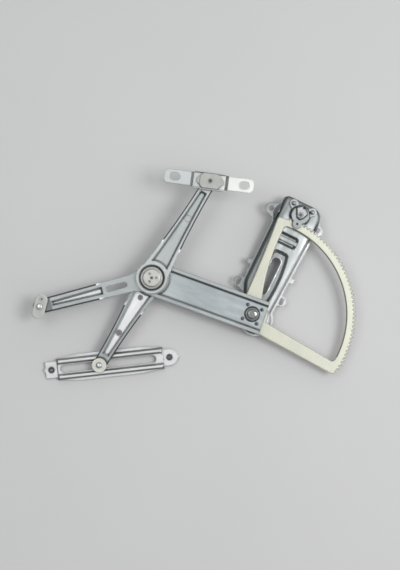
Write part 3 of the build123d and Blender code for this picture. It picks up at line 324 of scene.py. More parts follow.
class Finish:
    """What every finish shares: a principled surface, a material cache and a few masks."""

    made: dict[str, bpy.types.Material] = {}
    name: str

    def material(self) -> bpy.types.Material:
        """Make the finish's material, once.

        Returns:
            The Blender material.
        """
        if self.name not in Finish.made:
            material = bpy.data.materials.new(self.name)
            material.use_nodes = True
            tree = Tree(material.node_tree)
            surface = tree.add(Kind.SURFACE)
            tree.add(Kind.OUTPUT, {}, {"Surface": tree.signal(surface)})
            self.lay(tree, surface)
            Finish.made[self.name] = material
        return Finish.made[self.name]

    def lay(self, tree: Tree, surface: bpy.types.Node) -> None:
        """Feed the surface's sockets.

        Args:
            tree: The material's tree.
            surface: Its principled node.
        """
        raise NotImplementedError

    @staticmethod
    def place(tree: Tree) -> Signal:
        """Object coordinates, which stay with a part as it moves."""
        return tree.signal(tree.add(Kind.COORDINATE), "Object")

    @staticmethod
    def steepness(tree: Tree, wall: float = 0.25, level: float = 0.97) -> Signal:
        """How upright a face stands.

        Args:
            tree: The material's tree.
            wall: The upward part of the normal below which a face counts as a wall.
            level: The upward part above which it counts as level.

        Returns:
            0 on faces that lie in the linkage plane and 1 on upright walls.
        """
        normal = tree.signal(tree.add(Kind.COORDINATE), "Normal")
        upright = tree.signal(tree.add(Kind.SPLIT, {}, {0: normal}), "Z")
        return 1 - abs(upright).step(wall, level)

    @staticmethod
    def corners(
        tree: Tree, radius: float, sharp: float = 0.82, flat: float = 0.995
    ) -> tuple[Signal, Signal]:
        """Rounded edges.

        Args:
            tree: The material's tree.
            radius: How far the rounding reaches, in metres.
            sharp: The turn of the normal that counts as a full edge, as a cosine.
            flat: The turn below which the face counts as flat, as a cosine.

        Returns:
            The rounded normal, and a mask that is 1 along sharp edges.
        """
        rounded = tree.signal(tree.add(Kind.BEVEL, {"samples": 4}, {"Radius": radius}))
        face = tree.signal(tree.add(Kind.GEOMETRY), "Normal")
        dot = tree.add(Kind.VECTOR_MATH, {"operation": "DOT_PRODUCT"}, {0: rounded, 1: face})
        return rounded, 1 - tree.signal(dot, "Value").step(sharp, flat)

    @staticmethod
    def shelter(tree: Tree, reach: float, closed: float = 0.35, clear: float = 0.95) -> Signal:
        """Creases and the feet of steps.

        Args:
            tree: The material's tree.
            reach: How far away a neighbour still counts, in metres.
            closed: The openness that counts as a full crease.
            clear: The openness that counts as clear.

        Returns:
            1 in creases and near steps, 0 in the open.
        """
        node = tree.add(Kind.OCCLUSION, {"samples": 6}, {"Distance": reach})
        return 1 - tree.signal(node, "AO").step(closed, clear)


@dataclass(frozen=True)
class Level:
    """A painted tone above one height: light and shade painted on a pressing by height."""

    height: float
    tone: Colour


@dataclass(frozen=True)
class PaintedFade:
    """A painted change of tone in one direction: painted shade and painted reflection across a
    part.
    """

    start: float
    end: float
    tone: Colour
    share: float = 1.0
    degrees: float = 0.0

    def over(self, tree: Tree, spot: bpy.types.Node, tone: Any) -> Signal:
        """Lay the fade over a tone.

        Args:
            tree: The material's tree.
            spot: The node that splits the place into its coordinates.
            tone: The tone underneath.

        Returns:
            The faded tone.
        """
        turn = math.radians(self.degrees)
        reach = tree.signal(spot, "X") * math.cos(turn) + tree.signal(spot, "Y") * math.sin(turn)
        return tree.mix(reach.step(self.start, self.end) * self.share, tone, self.tone)


@dataclass(frozen=True)
class PaintedFlank:
    """A painted dark fold along the edges of a tapered arm, standing in for the dark of the room
    reflected in its flange, with a painted highlight where the flange starts.

    The arm's half width is a parabola through three pairs of station and half width. The
    stations run from the root in the arm's direction.
    """

    root: Pair
    degrees: float
    halves: tuple[Pair, Pair, Pair]
    width: float = 0.0019
    start: float = 0.0
    flare: float = 0.008
    flare_gap: float = 0.001
    edge_blur: float = 0.0003
    start_blur: float = 0.0005

    def bands(self, tree: Tree, spot: bpy.types.Node) -> tuple[Signal, Signal]:
        """The painted dark fold along both edges of the arm, and the painted highlight where the
        flange starts.

        Args:
            tree: The material's tree.
            spot: The node that splits the place into its coordinates.

        Returns:
            The mask of the fold and the mask of the flare.
        """
        turn = math.radians(self.degrees)
        east = tree.signal(spot, "X") - self.root[0]
        north = tree.signal(spot, "Y") - self.root[1]
        along = east * math.cos(turn) + north * math.sin(turn)
        across = abs(north * math.cos(turn) - east * math.sin(turn))
        edge = (across - self.half_width(along) + self.width).past(0.0, self.edge_blur)
        fold = along.past(self.start, self.start_blur)
        before = along.step(self.start - self.flare, self.start - self.flare_gap)
        return edge * fold, edge * before * (1 - fold)

    def half_width(self, along: Signal) -> Signal:
        """The arm's half width.

        Args:
            along: The distance from the root.

        Returns:
            The half width there.
        """
        (x0, h0), (x1, h1), (x2, h2) = self.halves
        slope = (h1 - h0) / (x1 - x0)
        bend = ((h2 - h1) / (x2 - x1) - slope) / (x2 - x0)
        return (along - x0) * slope + (along - x0) * (along - x1) * bend + h0


@dataclass(frozen=True)
class PaintedRim:
    """A painted dark band along one side of an arc-shaped opening's edge: painted shade."""

    centre: Pair
    radius: float
    width: float
    facing: float
    half_angle: float
    overlap: float = 0.001
    edge_blur: float = 0.0003
    end_blur: float = 0.01

    def band(self, tree: Tree, spot: bpy.types.Node) -> Signal:
        """1 along the opening's outer arc, where the shade is painted, and 0 elsewhere.

        Args:
            tree: The material's tree.
            spot: The node that splits the place into its coordinates.

        Returns:
            The mask.
        """
        east = tree.signal(spot, "X") - self.centre[0]
        north = tree.signal(spot, "Y") - self.centre[1]
        away = (east * east + north * north) ** 0.5
        beyond = (away - self.radius - self.width).past(0.0, self.edge_blur)
        turn, reach = math.radians(self.facing), math.cos(math.radians(self.half_angle))
        ahead = (east * math.cos(turn) + north * math.sin(turn)) / away
        inside = (away - self.radius + self.overlap).past(0.0, self.edge_blur)
        return inside * (1 - beyond) * ahead.past(reach, self.end_blur)


@dataclass(frozen=True)
class Zinc(Finish):
    """Zinc plating on pressed steel: satin and streaked, with painted shade on its walls, in its
    creases, along its outlines and at its folds.
    """

    name: str
    colour: Colour = (0.60, 0.645, 0.665)
    painted_levels: tuple[Level, ...] = ()
    painted_fades: tuple[PaintedFade, ...] = ()
    painted_sheens: tuple[PaintedFade, ...] = ()
    flanks: tuple[PaintedFlank, ...] = ()
    flank_shade: float = 0.88
    along: float = 0.0
    roughness: float = 0.36
    metallic: float = 0.84
    # Painted shade on walls, in creases and along outlines; edge_shine paints a highlight along
    # edges that also stands for wear.
    wall_shade: float = 0.80
    crease_shade: float = 0.62
    crease_reach: float = 0.0028
    edge_round: float = 0.0012
    edge_shine: float = 0.10
    outline: float = 0.60
    outline_reach: float = 0.0030
    outline_sharp: float = 0.80
    outline_flat: float = 0.99
    cloud: float = 0.12
    streak: float = 0.10
    clouds: Pattern = Pattern(21.0, 4.0)
    waves: Pattern = Pattern(38.0, 2.0, 2.5)
    streaks: Pattern = Pattern(700.0, 2.0, 26.0)
    specks: Pattern = Pattern(1900.0, 2.0)
    drift: float = 0.0006
    level_blur: float = 0.0005
    dull_share: float = 0.5
    dull_tone: Colour = (0.05, 0.055, 0.058)
    pale_share: float = 0.35
    pale_tone: Colour = (0.95, 0.97, 0.97)
    evenness: float = 0.62
    # Tones of the painted shade on walls, creases, outlines and folds, and of the painted
    # highlights on flares and edges.
    wall_shade_tone: Colour = (0.030, 0.036, 0.038)
    crease_shade_tone: Colour = (0.035, 0.04, 0.042)
    outline_shade_tone: Colour = (0.04, 0.046, 0.048)
    fold_shade_tone: Colour = (0.030, 0.034, 0.036)
    flare_highlight_tone: Colour = (0.97, 0.98, 0.98)
    edge_tone: Colour = (0.88, 0.90, 0.90)
    speck_gloss: float = 0.10
    cloud_gloss: float = 0.14
    swell: Relief = Relief(0.8, 0.0022)
    grain: Relief = Relief(0.3, 0.00007)
    grain_streaks: float = 0.6
    grain_specks: float = 0.4

    def lay(self, tree: Tree, surface: bpy.types.Node) -> None:
        """Clouded plating with painted shade on walls, in creases and at folds, and bright edges
        that are partly painted highlight and partly wear.

        Args:
            tree: The material's tree.
            surface: Its principled node.
        """
        place = self.place(tree)
        turned = tree.turned(place, self.along)
        clouds, specks = self.clouds.over(place), self.specks.over(place)
        streaks, waves = self.streaks.over(turned), self.waves.over(turned)
        rounded, edges = self.corners(tree, self.edge_round)
        spot = tree.add(Kind.SPLIT, {}, {0: place})
        patches = (clouds - 0.5) * (2 * self.cloud) + (streaks - 0.5) * (2 * self.streak)
        plated = self.plated(tree, self.pressed(tree, spot, clouds), patches)
        # Painted highlight and wear along the edges.
        bright = tree.mix(edges * self.edge_shine, self.shaded(tree, spot, plated), self.edge_tone)
        tree.feed(surface.inputs["Base Color"], bright)
        surface.inputs["Metallic"].default_value = self.metallic
        gloss = (specks - 0.5) * self.speck_gloss + (clouds - 0.5) * self.cloud_gloss
        tree.feed(surface.inputs["Roughness"], gloss + self.roughness)
        fine = streaks * self.grain_streaks + specks * self.grain_specks
        relief = self.grain.press(fine, self.swell.press(waves, rounded))
        tree.feed(surface.inputs["Normal"], relief)

    def pressed(self, tree: Tree, spot: bpy.types.Node, clouds: Signal) -> Any:
        """The painted light and shade of the pressing: painted tones across it, painted tones by
        height, then painted highlights and shade across it.

        Args:
            tree: The material's tree.
            spot: The node that splits the place into its coordinates.
            clouds: The noise that blurs the levels' borders.

        Returns:
            The tone, a plain colour where the finish has none of them.
        """
        tone: Any = self.colour
        # Painted shade and reflection across the part.
        for fade in self.painted_fades:
            tone = fade.over(tree, spot, tone)
        height = tree.signal(spot, "Z") + (clouds - 0.5) * self.drift
        # Painted light and shade by height.
        for level in self.painted_levels:
            tone = tree.mix(height.past(level.height, self.level_blur), tone, level.tone)
        # Painted highlights and painted shade across the part, laid over the tones by height.
        for sheen in self.painted_sheens:
            tone = sheen.over(tree, spot, tone)
        return tone

    def plated(self, tree: Tree, tone: Any, patches: Signal) -> Signal:
        """Lay the plating's dull and pale patches over a tone.

        Args:
            tree: The material's tree.
            tone: The tone underneath.
            patches: The patches, about 0.

        Returns:
            The clouded tone.
        """
        dull = tree.mix(self.dull_share - patches, tone, self.dull_tone)
        glint = tree.mix(0.5, tone, self.pale_tone)
        pale = tree.mix(self.pale_share + patches, dull, glint)
        return tree.mix(self.evenness, pale, tone)

    def shaded(self, tree: Tree, spot: bpy.types.Node, tone: Signal) -> Signal:
        """Paint shade on walls, in creases, along outlines and at folds, and paint highlights on
        the flares.

        Args:
            tree: The material's tree.
            spot: The node that splits the place into its coordinates.
            tone: The tone underneath.

        Returns:
            The shaded tone.
        """
        steep = self.steepness(tree)
        crease = self.shelter(tree, self.crease_reach)
        _, borders = self.corners(tree, self.outline_reach, self.outline_sharp, self.outline_flat)
        # Painted shade on walls, in creases and along outlines.
        tone = tree.mix(steep * self.wall_shade, tone, self.wall_shade_tone)
        tone = tree.mix(crease * self.crease_shade, tone, self.crease_shade_tone)
        tone = tree.mix(borders * self.outline, tone, self.outline_shade_tone)
        # Painted shade along the arm's edges and a painted highlight where each flange starts.
        for flank in self.flanks:
            fold, flare = flank.bands(tree, spot)
            tone = tree.mix(fold * self.flank_shade, tone, self.fold_shade_tone)
            tone = tree.mix(flare * (1 - steep) * self.flank_shade, tone, self.flare_highlight_tone)
        return tone


@dataclass(frozen=True)
class Chromate(Finish):
    """Pale greenish yellow passivation on the toothed sector: nearly matte, slightly mottled."""

    name: str
    colour: Colour = (0.585, 0.60, 0.515)
    warm: Colour = (0.64, 0.64, 0.535)
    warm_span: Pair = (0.3, 0.7)
    # The opening's rim gets a painted dark band: painted shade.
    rims: tuple[PaintedRim, ...] = ()
    rim_shade: float = 0.8
    rim_shade_tone: Colour = (0.09, 0.10, 0.07)
    clouds: Pattern = Pattern(30.0, 4.0)
    grains: Pattern = Pattern(620.0, 3.0)
    drawn: Pattern = Pattern(420.0, 2.0, 18.0)
    drawn_along: float = 62.0
    speck_span: Pair = (0.5, 0.76)
    speck_share: float = 0.30
    speck_tone: Colour = (0.40, 0.41, 0.34)
    drawn_span: Pair = (0.45, 0.8)
    drawn_share: float = 0.25
    drawn_tone: Colour = (0.80, 0.81, 0.70)
    # Painted shade on walls, in creases and along sharp edges.
    wall_shade: float = 0.85
    wall_shade_tone: Colour = (0.05, 0.05, 0.042)
    crease_reach: float = 0.003
    crease_shade: float = 0.55
    crease_shade_tone: Colour = (0.07, 0.07, 0.06)
    edge_round: float = 0.0032
    edge_sharp: float = 0.80
    edge_flat: float = 0.992
    edge_shade: float = 0.9
    edge_tone: Colour = (0.06, 0.063, 0.05)
    metallic: float = 0.45
    roughness: float = 0.44
    grain_gloss: float = 0.18
    relief: Relief = Relief(0.35, 0.00006)
    relief_grains: float = 0.7
    relief_drawn: float = 0.3

    def lay(self, tree: Tree, surface: bpy.types.Node) -> None:
        """Mottled passivation with painted shade on its walls, in its creases, along its edges and
        along the opening's rim.

        Args:
            tree: The material's tree.
            surface: Its principled node.
        """
        place = self.place(tree)
        clouds, grains = self.clouds.over(place), self.grains.over(place)
        drawn = self.drawn.over(tree.turned(place, self.drawn_along))
        rounded, edges = self.corners(tree, self.edge_round, self.edge_sharp, self.edge_flat)
        tone = tree.mix(clouds.step(*self.warm_span), self.colour, self.warm)
        tone = tree.mix(grains.step(*self.speck_span) * self.speck_share, tone, self.speck_tone)
        tone = tree.mix(drawn.step(*self.drawn_span) * self.drawn_share, tone, self.drawn_tone)
        # Painted shade on walls, in creases and along sharp edges.
        tone = tree.mix(self.steepness(tree) * self.wall_shade, tone, self.wall_shade_tone)
        crease = self.shelter(tree, self.crease_reach)
        tone = tree.mix(crease * self.crease_shade, tone, self.crease_shade_tone)
        tone = tree.mix(edges * self.edge_shade, tone, self.edge_tone)
        spot = tree.add(Kind.SPLIT, {}, {0: place})
        # Painted shade along the opening's rim.
        for rim in self.rims:
            tone = tree.mix(rim.band(tree, spot) * self.rim_shade, tone, self.rim_shade_tone)
        tree.feed(surface.inputs["Base Color"], tone)
        surface.inputs["Metallic"].default_value = self.metallic
        tree.feed(surface.inputs["Roughness"], (grains - 0.5) * self.grain_gloss + self.roughness)
        fine = grains * self.relief_grains + drawn * self.relief_drawn
        tree.feed(surface.inputs["Normal"], self.relief.press(fine, rounded))


@dataclass(frozen=True)
class Steel(Finish):
    """Bare or oiled machined steel with turning marks."""

    name: str
    colour: Colour = (0.30, 0.31, 0.32)
    cloud_span: Pair = (0.25, 0.75)
    low_tone: float = 0.75
    high_tone: float = 1.15
    roughness: float = 0.34
    metallic: float = 0.88
    clouds: Pattern = Pattern(120.0)
    specks: Pattern = Pattern(2600.0, 2.0)
    speck_gloss: float = 0.16
    # Painted shade on walls and in creases, and a painted highlight on edges.
    wall_shade: float = 0.5
    wall_shade_tone: Colour = (0.02, 0.02, 0.022)
    crease_reach: float = 0.003
    crease_shade: float = 0.7
    crease_shade_tone: Colour = (0.02, 0.02, 0.02)
    edge_round: float = 0.0006
    edge_shine: float = 0.3
    edge_tone: float = 1.7
    relief: Relief = Relief(0.25, 0.00004)

    def lay(self, tree: Tree, surface: bpy.types.Node) -> None:
        """Fine scratches over a slightly clouded tone, with painted shade on walls and in creases
        and a painted highlight on edges.

        Args:
            tree: The material's tree.
            surface: Its principled node.
        """
        place = self.place(tree)
        clouds, specks = self.clouds.over(place), self.specks.over(place)
        rounded, edges = self.corners(tree, self.edge_round)
        low, high = scaled(self.colour, self.low_tone), scaled(self.colour, self.high_tone)
        tone = tree.mix(clouds.step(*self.cloud_span), low, high)
        # Painted shade on walls and in creases, and a painted highlight on edges.
        tone = tree.mix(self.steepness(tree) * self.wall_shade, tone, self.wall_shade_tone)
        crease = self.shelter(tree, self.crease_reach)
        tone = tree.mix(crease * self.crease_shade, tone, self.crease_shade_tone)
        tone = tree.mix(edges * self.edge_shine, tone, scaled(self.colour, self.edge_tone))
        tree.feed(surface.inputs["Base Color"], tone)
        surface.inputs["Metallic"].default_value = self.metallic
        tree.feed(surface.inputs["Roughness"], (specks - 0.5) * self.speck_gloss + self.roughness)
        tree.feed(surface.inputs["Normal"], self.relief.press(specks, rounded))


@dataclass(frozen=True)
class Nylon(Finish):
    """Moulded nylon: waxy, slightly mottled, with a little light in it."""

    name: str
    colour: Colour = (0.66, 0.67, 0.64)
    cloud_span: Pair = (0.3, 0.7)
    low_tone: float = 0.90
    roughness: float = 0.40
    glow: float = 0.12
    glow_reach: Colour = (0.002, 0.002, 0.0018)
    clouds: Pattern = Pattern(90.0)
    grains: Pattern = Pattern(2400.0, 2.0)
    grain_gloss: float = 0.14
    # Painted shade in creases and a painted highlight on edges.
    crease_reach: float = 0.004
    crease_shade: float = 0.55
    crease_shade_tone: float = 0.35
    edge_round: float = 0.0008
    edge_shine: float = 0.25
    edge_tone: float = 1.25
    relief: Relief = Relief(0.2, 0.00004)

    def lay(self, tree: Tree, surface: bpy.types.Node) -> None:
        """A waxy tone with faint flow marks and a fine moulded grain, with painted shade in creases
        and a painted highlight on edges.

        Args:
            tree: The material's tree.
            surface: Its principled node.
        """
        place = self.place(tree)
        clouds, grains = self.clouds.over(place), self.grains.over(place)
        rounded, edges = self.corners(tree, self.edge_round)
        tone = tree.mix(
            clouds.step(*self.cloud_span), scaled(self.colour, self.low_tone), self.colour
        )
        # Painted shade in creases and a painted highlight on edges.
        crease = self.shelter(tree, self.crease_reach) * self.crease_shade
        tone = tree.mix(crease, tone, scaled(self.colour, self.crease_shade_tone))
        tone = tree.mix(edges * self.edge_shine, tone, scaled(self.colour, self.edge_tone))
        tree.feed(surface.inputs["Base Color"], tone)
        surface.inputs["Subsurface Weight"].default_value = self.glow
        surface.inputs["Subsurface Radius"].default_value = self.glow_reach
        surface.inputs["Subsurface Scale"].default_value = 1.0
        tree.feed(surface.inputs["Roughness"], (grains - 0.5) * self.grain_gloss + self.roughness)
        tree.feed(surface.inputs["Normal"], self.relief.press(grains, rounded))


@dataclass(frozen=True)
class Backdrop(Finish):
    """The pale grey studio table."""

    name: str = "studio_table"
    colour: Colour = (0.60, 0.60, 0.602)
    clouds: Pattern = Pattern(3.0, 2.0)
    cloud_span: Pair = (0.2, 0.8)
    low_tone: float = 0.97
    roughness: float = 0.85
    gloss: float = 0.2

    def lay(self, tree: Tree, surface: bpy.types.Node) -> None:
        """An even matte grey with a faint unevenness.

        Args:
            tree: The material's tree.
            surface: Its principled node.
        """
        clouds = self.clouds.over(self.place(tree)).step(*self.cloud_span)
        tone = tree.mix(clouds, scaled(self.colour, self.low_tone), self.colour)
        tree.feed(surface.inputs["Base Color"], tone)
        surface.inputs["Roughness"].default_value = self.roughness
        surface.inputs["Specular IOR Level"].default_value = self.gloss


PIVOT: Pair = (-0.07102, -0.14560)
HUB: Pair = (-0.21883, -0.09210)
PLATE_MID = 0.0020
PLATE_ALONG = 64.0
PLATE_ACROSS = PLATE_ALONG - 90.0
ARM_ALONG = -19.9
ARM_TIP_ALONG = 194.4
UPPER_ALONG = 58.7
LOWER_ALONG = 58.8
RAIL_ALONG = 6.3
BRACKET_ALONG = -7.5
SECTOR_WINDOW_RADIUS = 0.1393

PLATE_ZINC = Zinc(
    "zinc_plate",
    colour=(0.66, 0.69, 0.69),
    # Painted light and shade by height on the tray's walls and top.
    painted_levels=(
        Level(0.0024, (0.12, 0.135, 0.135)),
        Level(0.0066, (0.34, 0.365, 0.365)),
        Level(0.0108, (0.47, 0.51, 0.51)),
    ),
    # Painted highlight across the right side, painted shade along the left edge and on the nose by
    # the drive.
    painted_sheens=(
        PaintedFade(0.004, 0.027, (0.86, 0.88, 0.88), 0.75, PLATE_ACROSS),
        PaintedFade(-0.017, -0.026, (0.10, 0.115, 0.115), 0.6, PLATE_ACROSS),
        PaintedFade(-0.014, 0.003, (0.26, 0.285, 0.285), 0.8, PLATE_ALONG),
    ),
    along=PLATE_ALONG,
)
ARM_ZINC = Zinc(
    "zinc_arm",
    colour=(0.84, 0.87, 0.86),
    # Painted dark fold along the outer arm's edges and a painted highlight where it starts.
    flanks=(
        PaintedFlank(
            HUB, ARM_TIP_ALONG, ((0.0, 0.0134), (0.0849, 0.0120), (0.1698, 0.0106)),
            width=0.0024, start=0.082,
        ),
    ),
    # Painted shade on the arm's half towards the sector.
    painted_fades=(PaintedFade(-0.27, -0.15, (0.45, 0.50, 0.515)),),
    # Painted shade on the faces above 21.5 mm.
    painted_levels=(Level(0.0215, (0.50, 0.54, 0.535)),),
    # Painted shade over the arm's end beyond a line near its tip.
    painted_sheens=(PaintedFade(0.3865, 0.3885, (0.07, 0.08, 0.08), 0.75, ARM_TIP_ALONG),),
    along=ARM_ALONG,
    outline=0.75,
)
UPPER_ZINC = Zinc(
    "zinc_upper",
    colour=(0.53, 0.57, 0.57),
    # Painted dark fold along the arm's edges and a painted highlight where it starts.
    flanks=(
        PaintedFlank(
            HUB, UPPER_ALONG, ((0.008, 0.021), (0.07273, 0.0138), (0.1653, 0.0098)), start=0.057
        ),
    ),
    # Painted lighter tone on the faces above 27.9 mm.
    painted_levels=(Level(0.0279, (0.62, 0.655, 0.65)),),
    along=UPPER_ALONG,
    outline=0.8,
    wall_shade=0.62,
    crease_shade=0.25,
)
LOWER_ZINC = Zinc(
    "zinc_lower",
    colour=(0.98, 0.985, 0.985),
    # Painted dark fold along the arm's edges and a painted highlight where it starts.
    flanks=(
        PaintedFlank(
            HUB, LOWER_ALONG + 180.0, ((0.008, 0.021), (0.06657, 0.0138), (0.1513, 0.0098)),
            start=0.055,
        ),
    ),
    # Painted shade on the faces above 14.9 mm.
    painted_levels=(Level(0.0149, (0.46, 0.50, 0.50)),),
    along=LOWER_ALONG,
    outline=0.7,
)
RAIL_ZINC = Zinc(
    "zinc_rail",
    colour=(0.90, 0.92, 0.915),
    # Painted light by height, lightest above 7.2 mm.
    painted_levels=(Level(0.0030, (0.90, 0.92, 0.91)), Level(0.0072, (0.95, 0.96, 0.95))),
    along=RAIL_ALONG,
    outline=0.5,
)
BRACKET_ZINC = Zinc(
    "zinc_bracket",
    colour=(0.98, 0.985, 0.96),
    # Painted shade on the bracket's left end, left of x = -0.125 m.
    painted_fades=(PaintedFade(-0.105, -0.125, (0.66, 0.69, 0.69)),),
    along=BRACKET_ALONG,
    outline=0.5,
)
BRIDGE_ZINC = Zinc(
    "zinc_bridge",
    colour=(0.62, 0.65, 0.65),
    # Painted shade on the flanks and painted light on the roof and crown, by height.
    painted_levels=(
        Level(0.0142, (0.045, 0.052, 0.054)),
        Level(0.0193, (0.46, 0.49, 0.49)),
        Level(0.0202, (0.06, 0.068, 0.07)),
        Level(0.0223, (0.56, 0.59, 0.585)),
    ),
    roughness=0.28,
)
BEAD_ZINC = Zinc(
    "zinc_bead", (0.74, 0.76, 0.76), roughness=0.3, wall_shade=0.2, crease_shade=0.1, outline=0.0
)
# The fillets' dark tone is painted shade at the roots of the lugs.
GUSSET_SHADE_ZINC = Zinc(
    "zinc_gusset_shade", (0.20, 0.22, 0.22), roughness=0.28, wall_shade=0.3, outline=0.3
)
BRIGHT_ZINC = Zinc("zinc_bright", (0.66, 0.69, 0.69), roughness=0.27)
GLOSSY_ZINC = Zinc("glossy_zinc", (0.94, 0.95, 0.95), roughness=0.20, outline=0.3)
RIVET_ZINC = Zinc("zinc_rivet", (0.36, 0.38, 0.37), roughness=0.30, outline=0.4)
STUD_ZINC = Zinc("zinc_stud", (0.34, 0.36, 0.34), roughness=0.16, wall_shade=0.5, cloud=0.25)
HUB_ZINC = Zinc("zinc_hub", (0.66, 0.66, 0.62), roughness=0.34, wall_shade=0.92, cloud=0.18)
SECTOR_CHROMATE = Chromate(
    "sector_chromate",
    # Painted shade along the window's edge, on the arc that faces 19 degrees from the pivot.
    rims=(PaintedRim(PIVOT, SECTOR_WINDOW_RADIUS, 0.0017, facing=19.0, half_angle=46.0),),
)
DARK_STEEL = Steel("dark_steel")
BLACK_STEEL = Steel("black_steel", (0.10, 0.105, 0.11))
PIN_STEEL = Steel("pin_steel", (0.30, 0.31, 0.31))
MILKY_NYLON = Nylon("milky_nylon", (0.52, 0.525, 0.50), glow=0.25)
CREAM_NYLON = Nylon("cream_nylon", (0.68, 0.68, 0.62))
GREY_NYLON = Nylon("grey_nylon", (0.47, 0.475, 0.445), roughness=0.5)


def corners_of(node: str) -> tuple[Vector, Vector]:
    """The lowest and highest corners of a CAD node at rest."""
    low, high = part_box(node)
    return Vector(low), Vector(high)


def flat_direction(angle: float) -> Vector:
    """The unit vector in the linkage plane at an angle in radians."""
    return Vector((math.cos(angle), math.sin(angle), 0.0))


def on_plate(station: float, across: float) -> Vector:
    """A point of the base plate.

    Args:
        station: Metres from the sector's pivot towards the drive.
        across: Metres to the left of the plate's mid line.

    Returns:
        The point, at height 0.
    """
    turn = math.radians(PLATE_ALONG)
    along, left = flat_direction(turn), Vector((-math.sin(turn), math.cos(turn), 0.0))
    return Vector((*PIVOT, 0.0)) + along * station + left * (PLATE_MID + across)


def finished(
    mesh: bmesh.types.BMesh,
    name: str,
    body: Body,
    finish: Finish,
    smooth: bool = True,
) -> bpy.types.Object:
    """Turn a built mesh into a piece that rides on its body.

    Args:
        mesh: The mesh, which is freed.
        name: The piece's name.
        body: The body it rides on.
        finish: What covers it.
        smooth: Whether its faces shade smoothly.

    Returns:
        The new object.
    """
    bmesh.ops.recalc_face_normals(mesh, faces=mesh.faces)
    for face in mesh.faces:
        face.smooth = smooth
    data = bpy.data.meshes.new(name)
    mesh.to_mesh(data)
    mesh.free()
    piece = bpy.data.objects.new(name, data)
    bpy.context.scene.collection.objects.link(piece)
    data.materials.append(finish.material())
    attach(piece, body.value)
    LOG.info("made %s on %s with %s", name, body.value, finish.name)
    return piece


@dataclass
class Turned:
    """A turned piece on an upright axis, given by its half section."""

    name: str
    body: Body
    finish: Finish
    centre: Pair
    section: Sequence[Pair]
    slot: Slot = Slot.BRIGHT
    teeth: int = 0
    tooth_height: float = 0.0
    tooth_rows: tuple[int, ...] = ()
    tooth_parts: int = 4
    crest_parts: tuple[int, int] = (1, 2)
    segments: int = 48

    def build(self) -> bpy.types.Object:
        """Spin the half section into a closed mesh and let it ride on its body.

        Returns:
            The new object.
        """
        mesh = bmesh.new()
        rings = [self.ring(mesh, row, *point) for row, point in enumerate(self.section)]
        for lower, upper in zip(rings, rings[1:] + rings[:1]):
            self.bridge(mesh, lower, upper)
        return finished(
            mesh, self.name, self.body, self.finish, smooth=not self.teeth
        )

    def ring(
        self, mesh: bmesh.types.BMesh, row: int, radius: float, height: float
    ) -> list[bmesh.types.BMVert]:
        """Lay the vertices of one row of the half section.

        Args:
            mesh: The mesh under construction.
            row: The row's number.
            radius: Its radius, without the teeth.
            height: Its height.

        Returns:
            The vertices, a single one on the axis.
        """
        if radius <= 0:
            return [mesh.verts.new((*self.centre, height))]
        count = self.tooth_parts * self.teeth if self.teeth else self.segments
        ring = []
        for step in range(count):
            raised = row in self.tooth_rows and step % self.tooth_parts in self.crest_parts
            reach = radius + (self.tooth_height if raised else 0.0)
            angle = 2 * math.pi * step / count
            x = self.centre[0] + reach * math.cos(angle)
            y = self.centre[1] + reach * math.sin(angle)
            ring.append(mesh.verts.new((x, y, height)))
        return ring

    @staticmethod
    def bridge(mesh: bmesh.types.BMesh, lower: list[Any], upper: list[Any]) -> None:
        """Join two neighbouring rings, either of which may be a single point.

        Args:
            mesh: The mesh under construction.
            lower: The first ring.
            upper: The second ring.
        """
        count = max(len(lower), len(upper))
        if count == 1:
            return
        for step in range(count):
            after = (step + 1) % count
            loop = [
                lower[step % len(lower)],
                lower[after % len(lower)],
                upper[after % len(upper)],
                upper[step % len(upper)],
            ]
            mesh.faces.new(list(dict.fromkeys(loop)))


@dataclass
class Crown:
    """A domed rivet crown over the middle of a CAD node."""

    node: str
    body: Body
    finish: Finish
    radius: float
    rise: float
    seat: float = 0.0003
    skirt: float = 0.2
    rows: int = 5

    def build(self) -> bpy.types.Object:
        """Turn the dome on the node's upper end.

        Returns:
            The new object.
        """
        low, high = corners_of(self.node)
        middle = (low + high) / 2
        foot = high.z - self.seat
        section = [(0.0, foot), (self.radius, foot)]
        section.append((self.radius, high.z + self.rise * self.skirt))
        for row in range(1, self.rows):
            angle = math.pi / 2 * row / self.rows
            lift = self.skirt + (1 - self.skirt) * math.sin(angle)
            section.append((self.radius * math.cos(angle), high.z + self.rise * lift))
        section.append((0.0, high.z + self.rise))
        name = f"{self.node}_crown"
        return Turned(name, self.body, self.finish, (middle.x, middle.y), section).build()


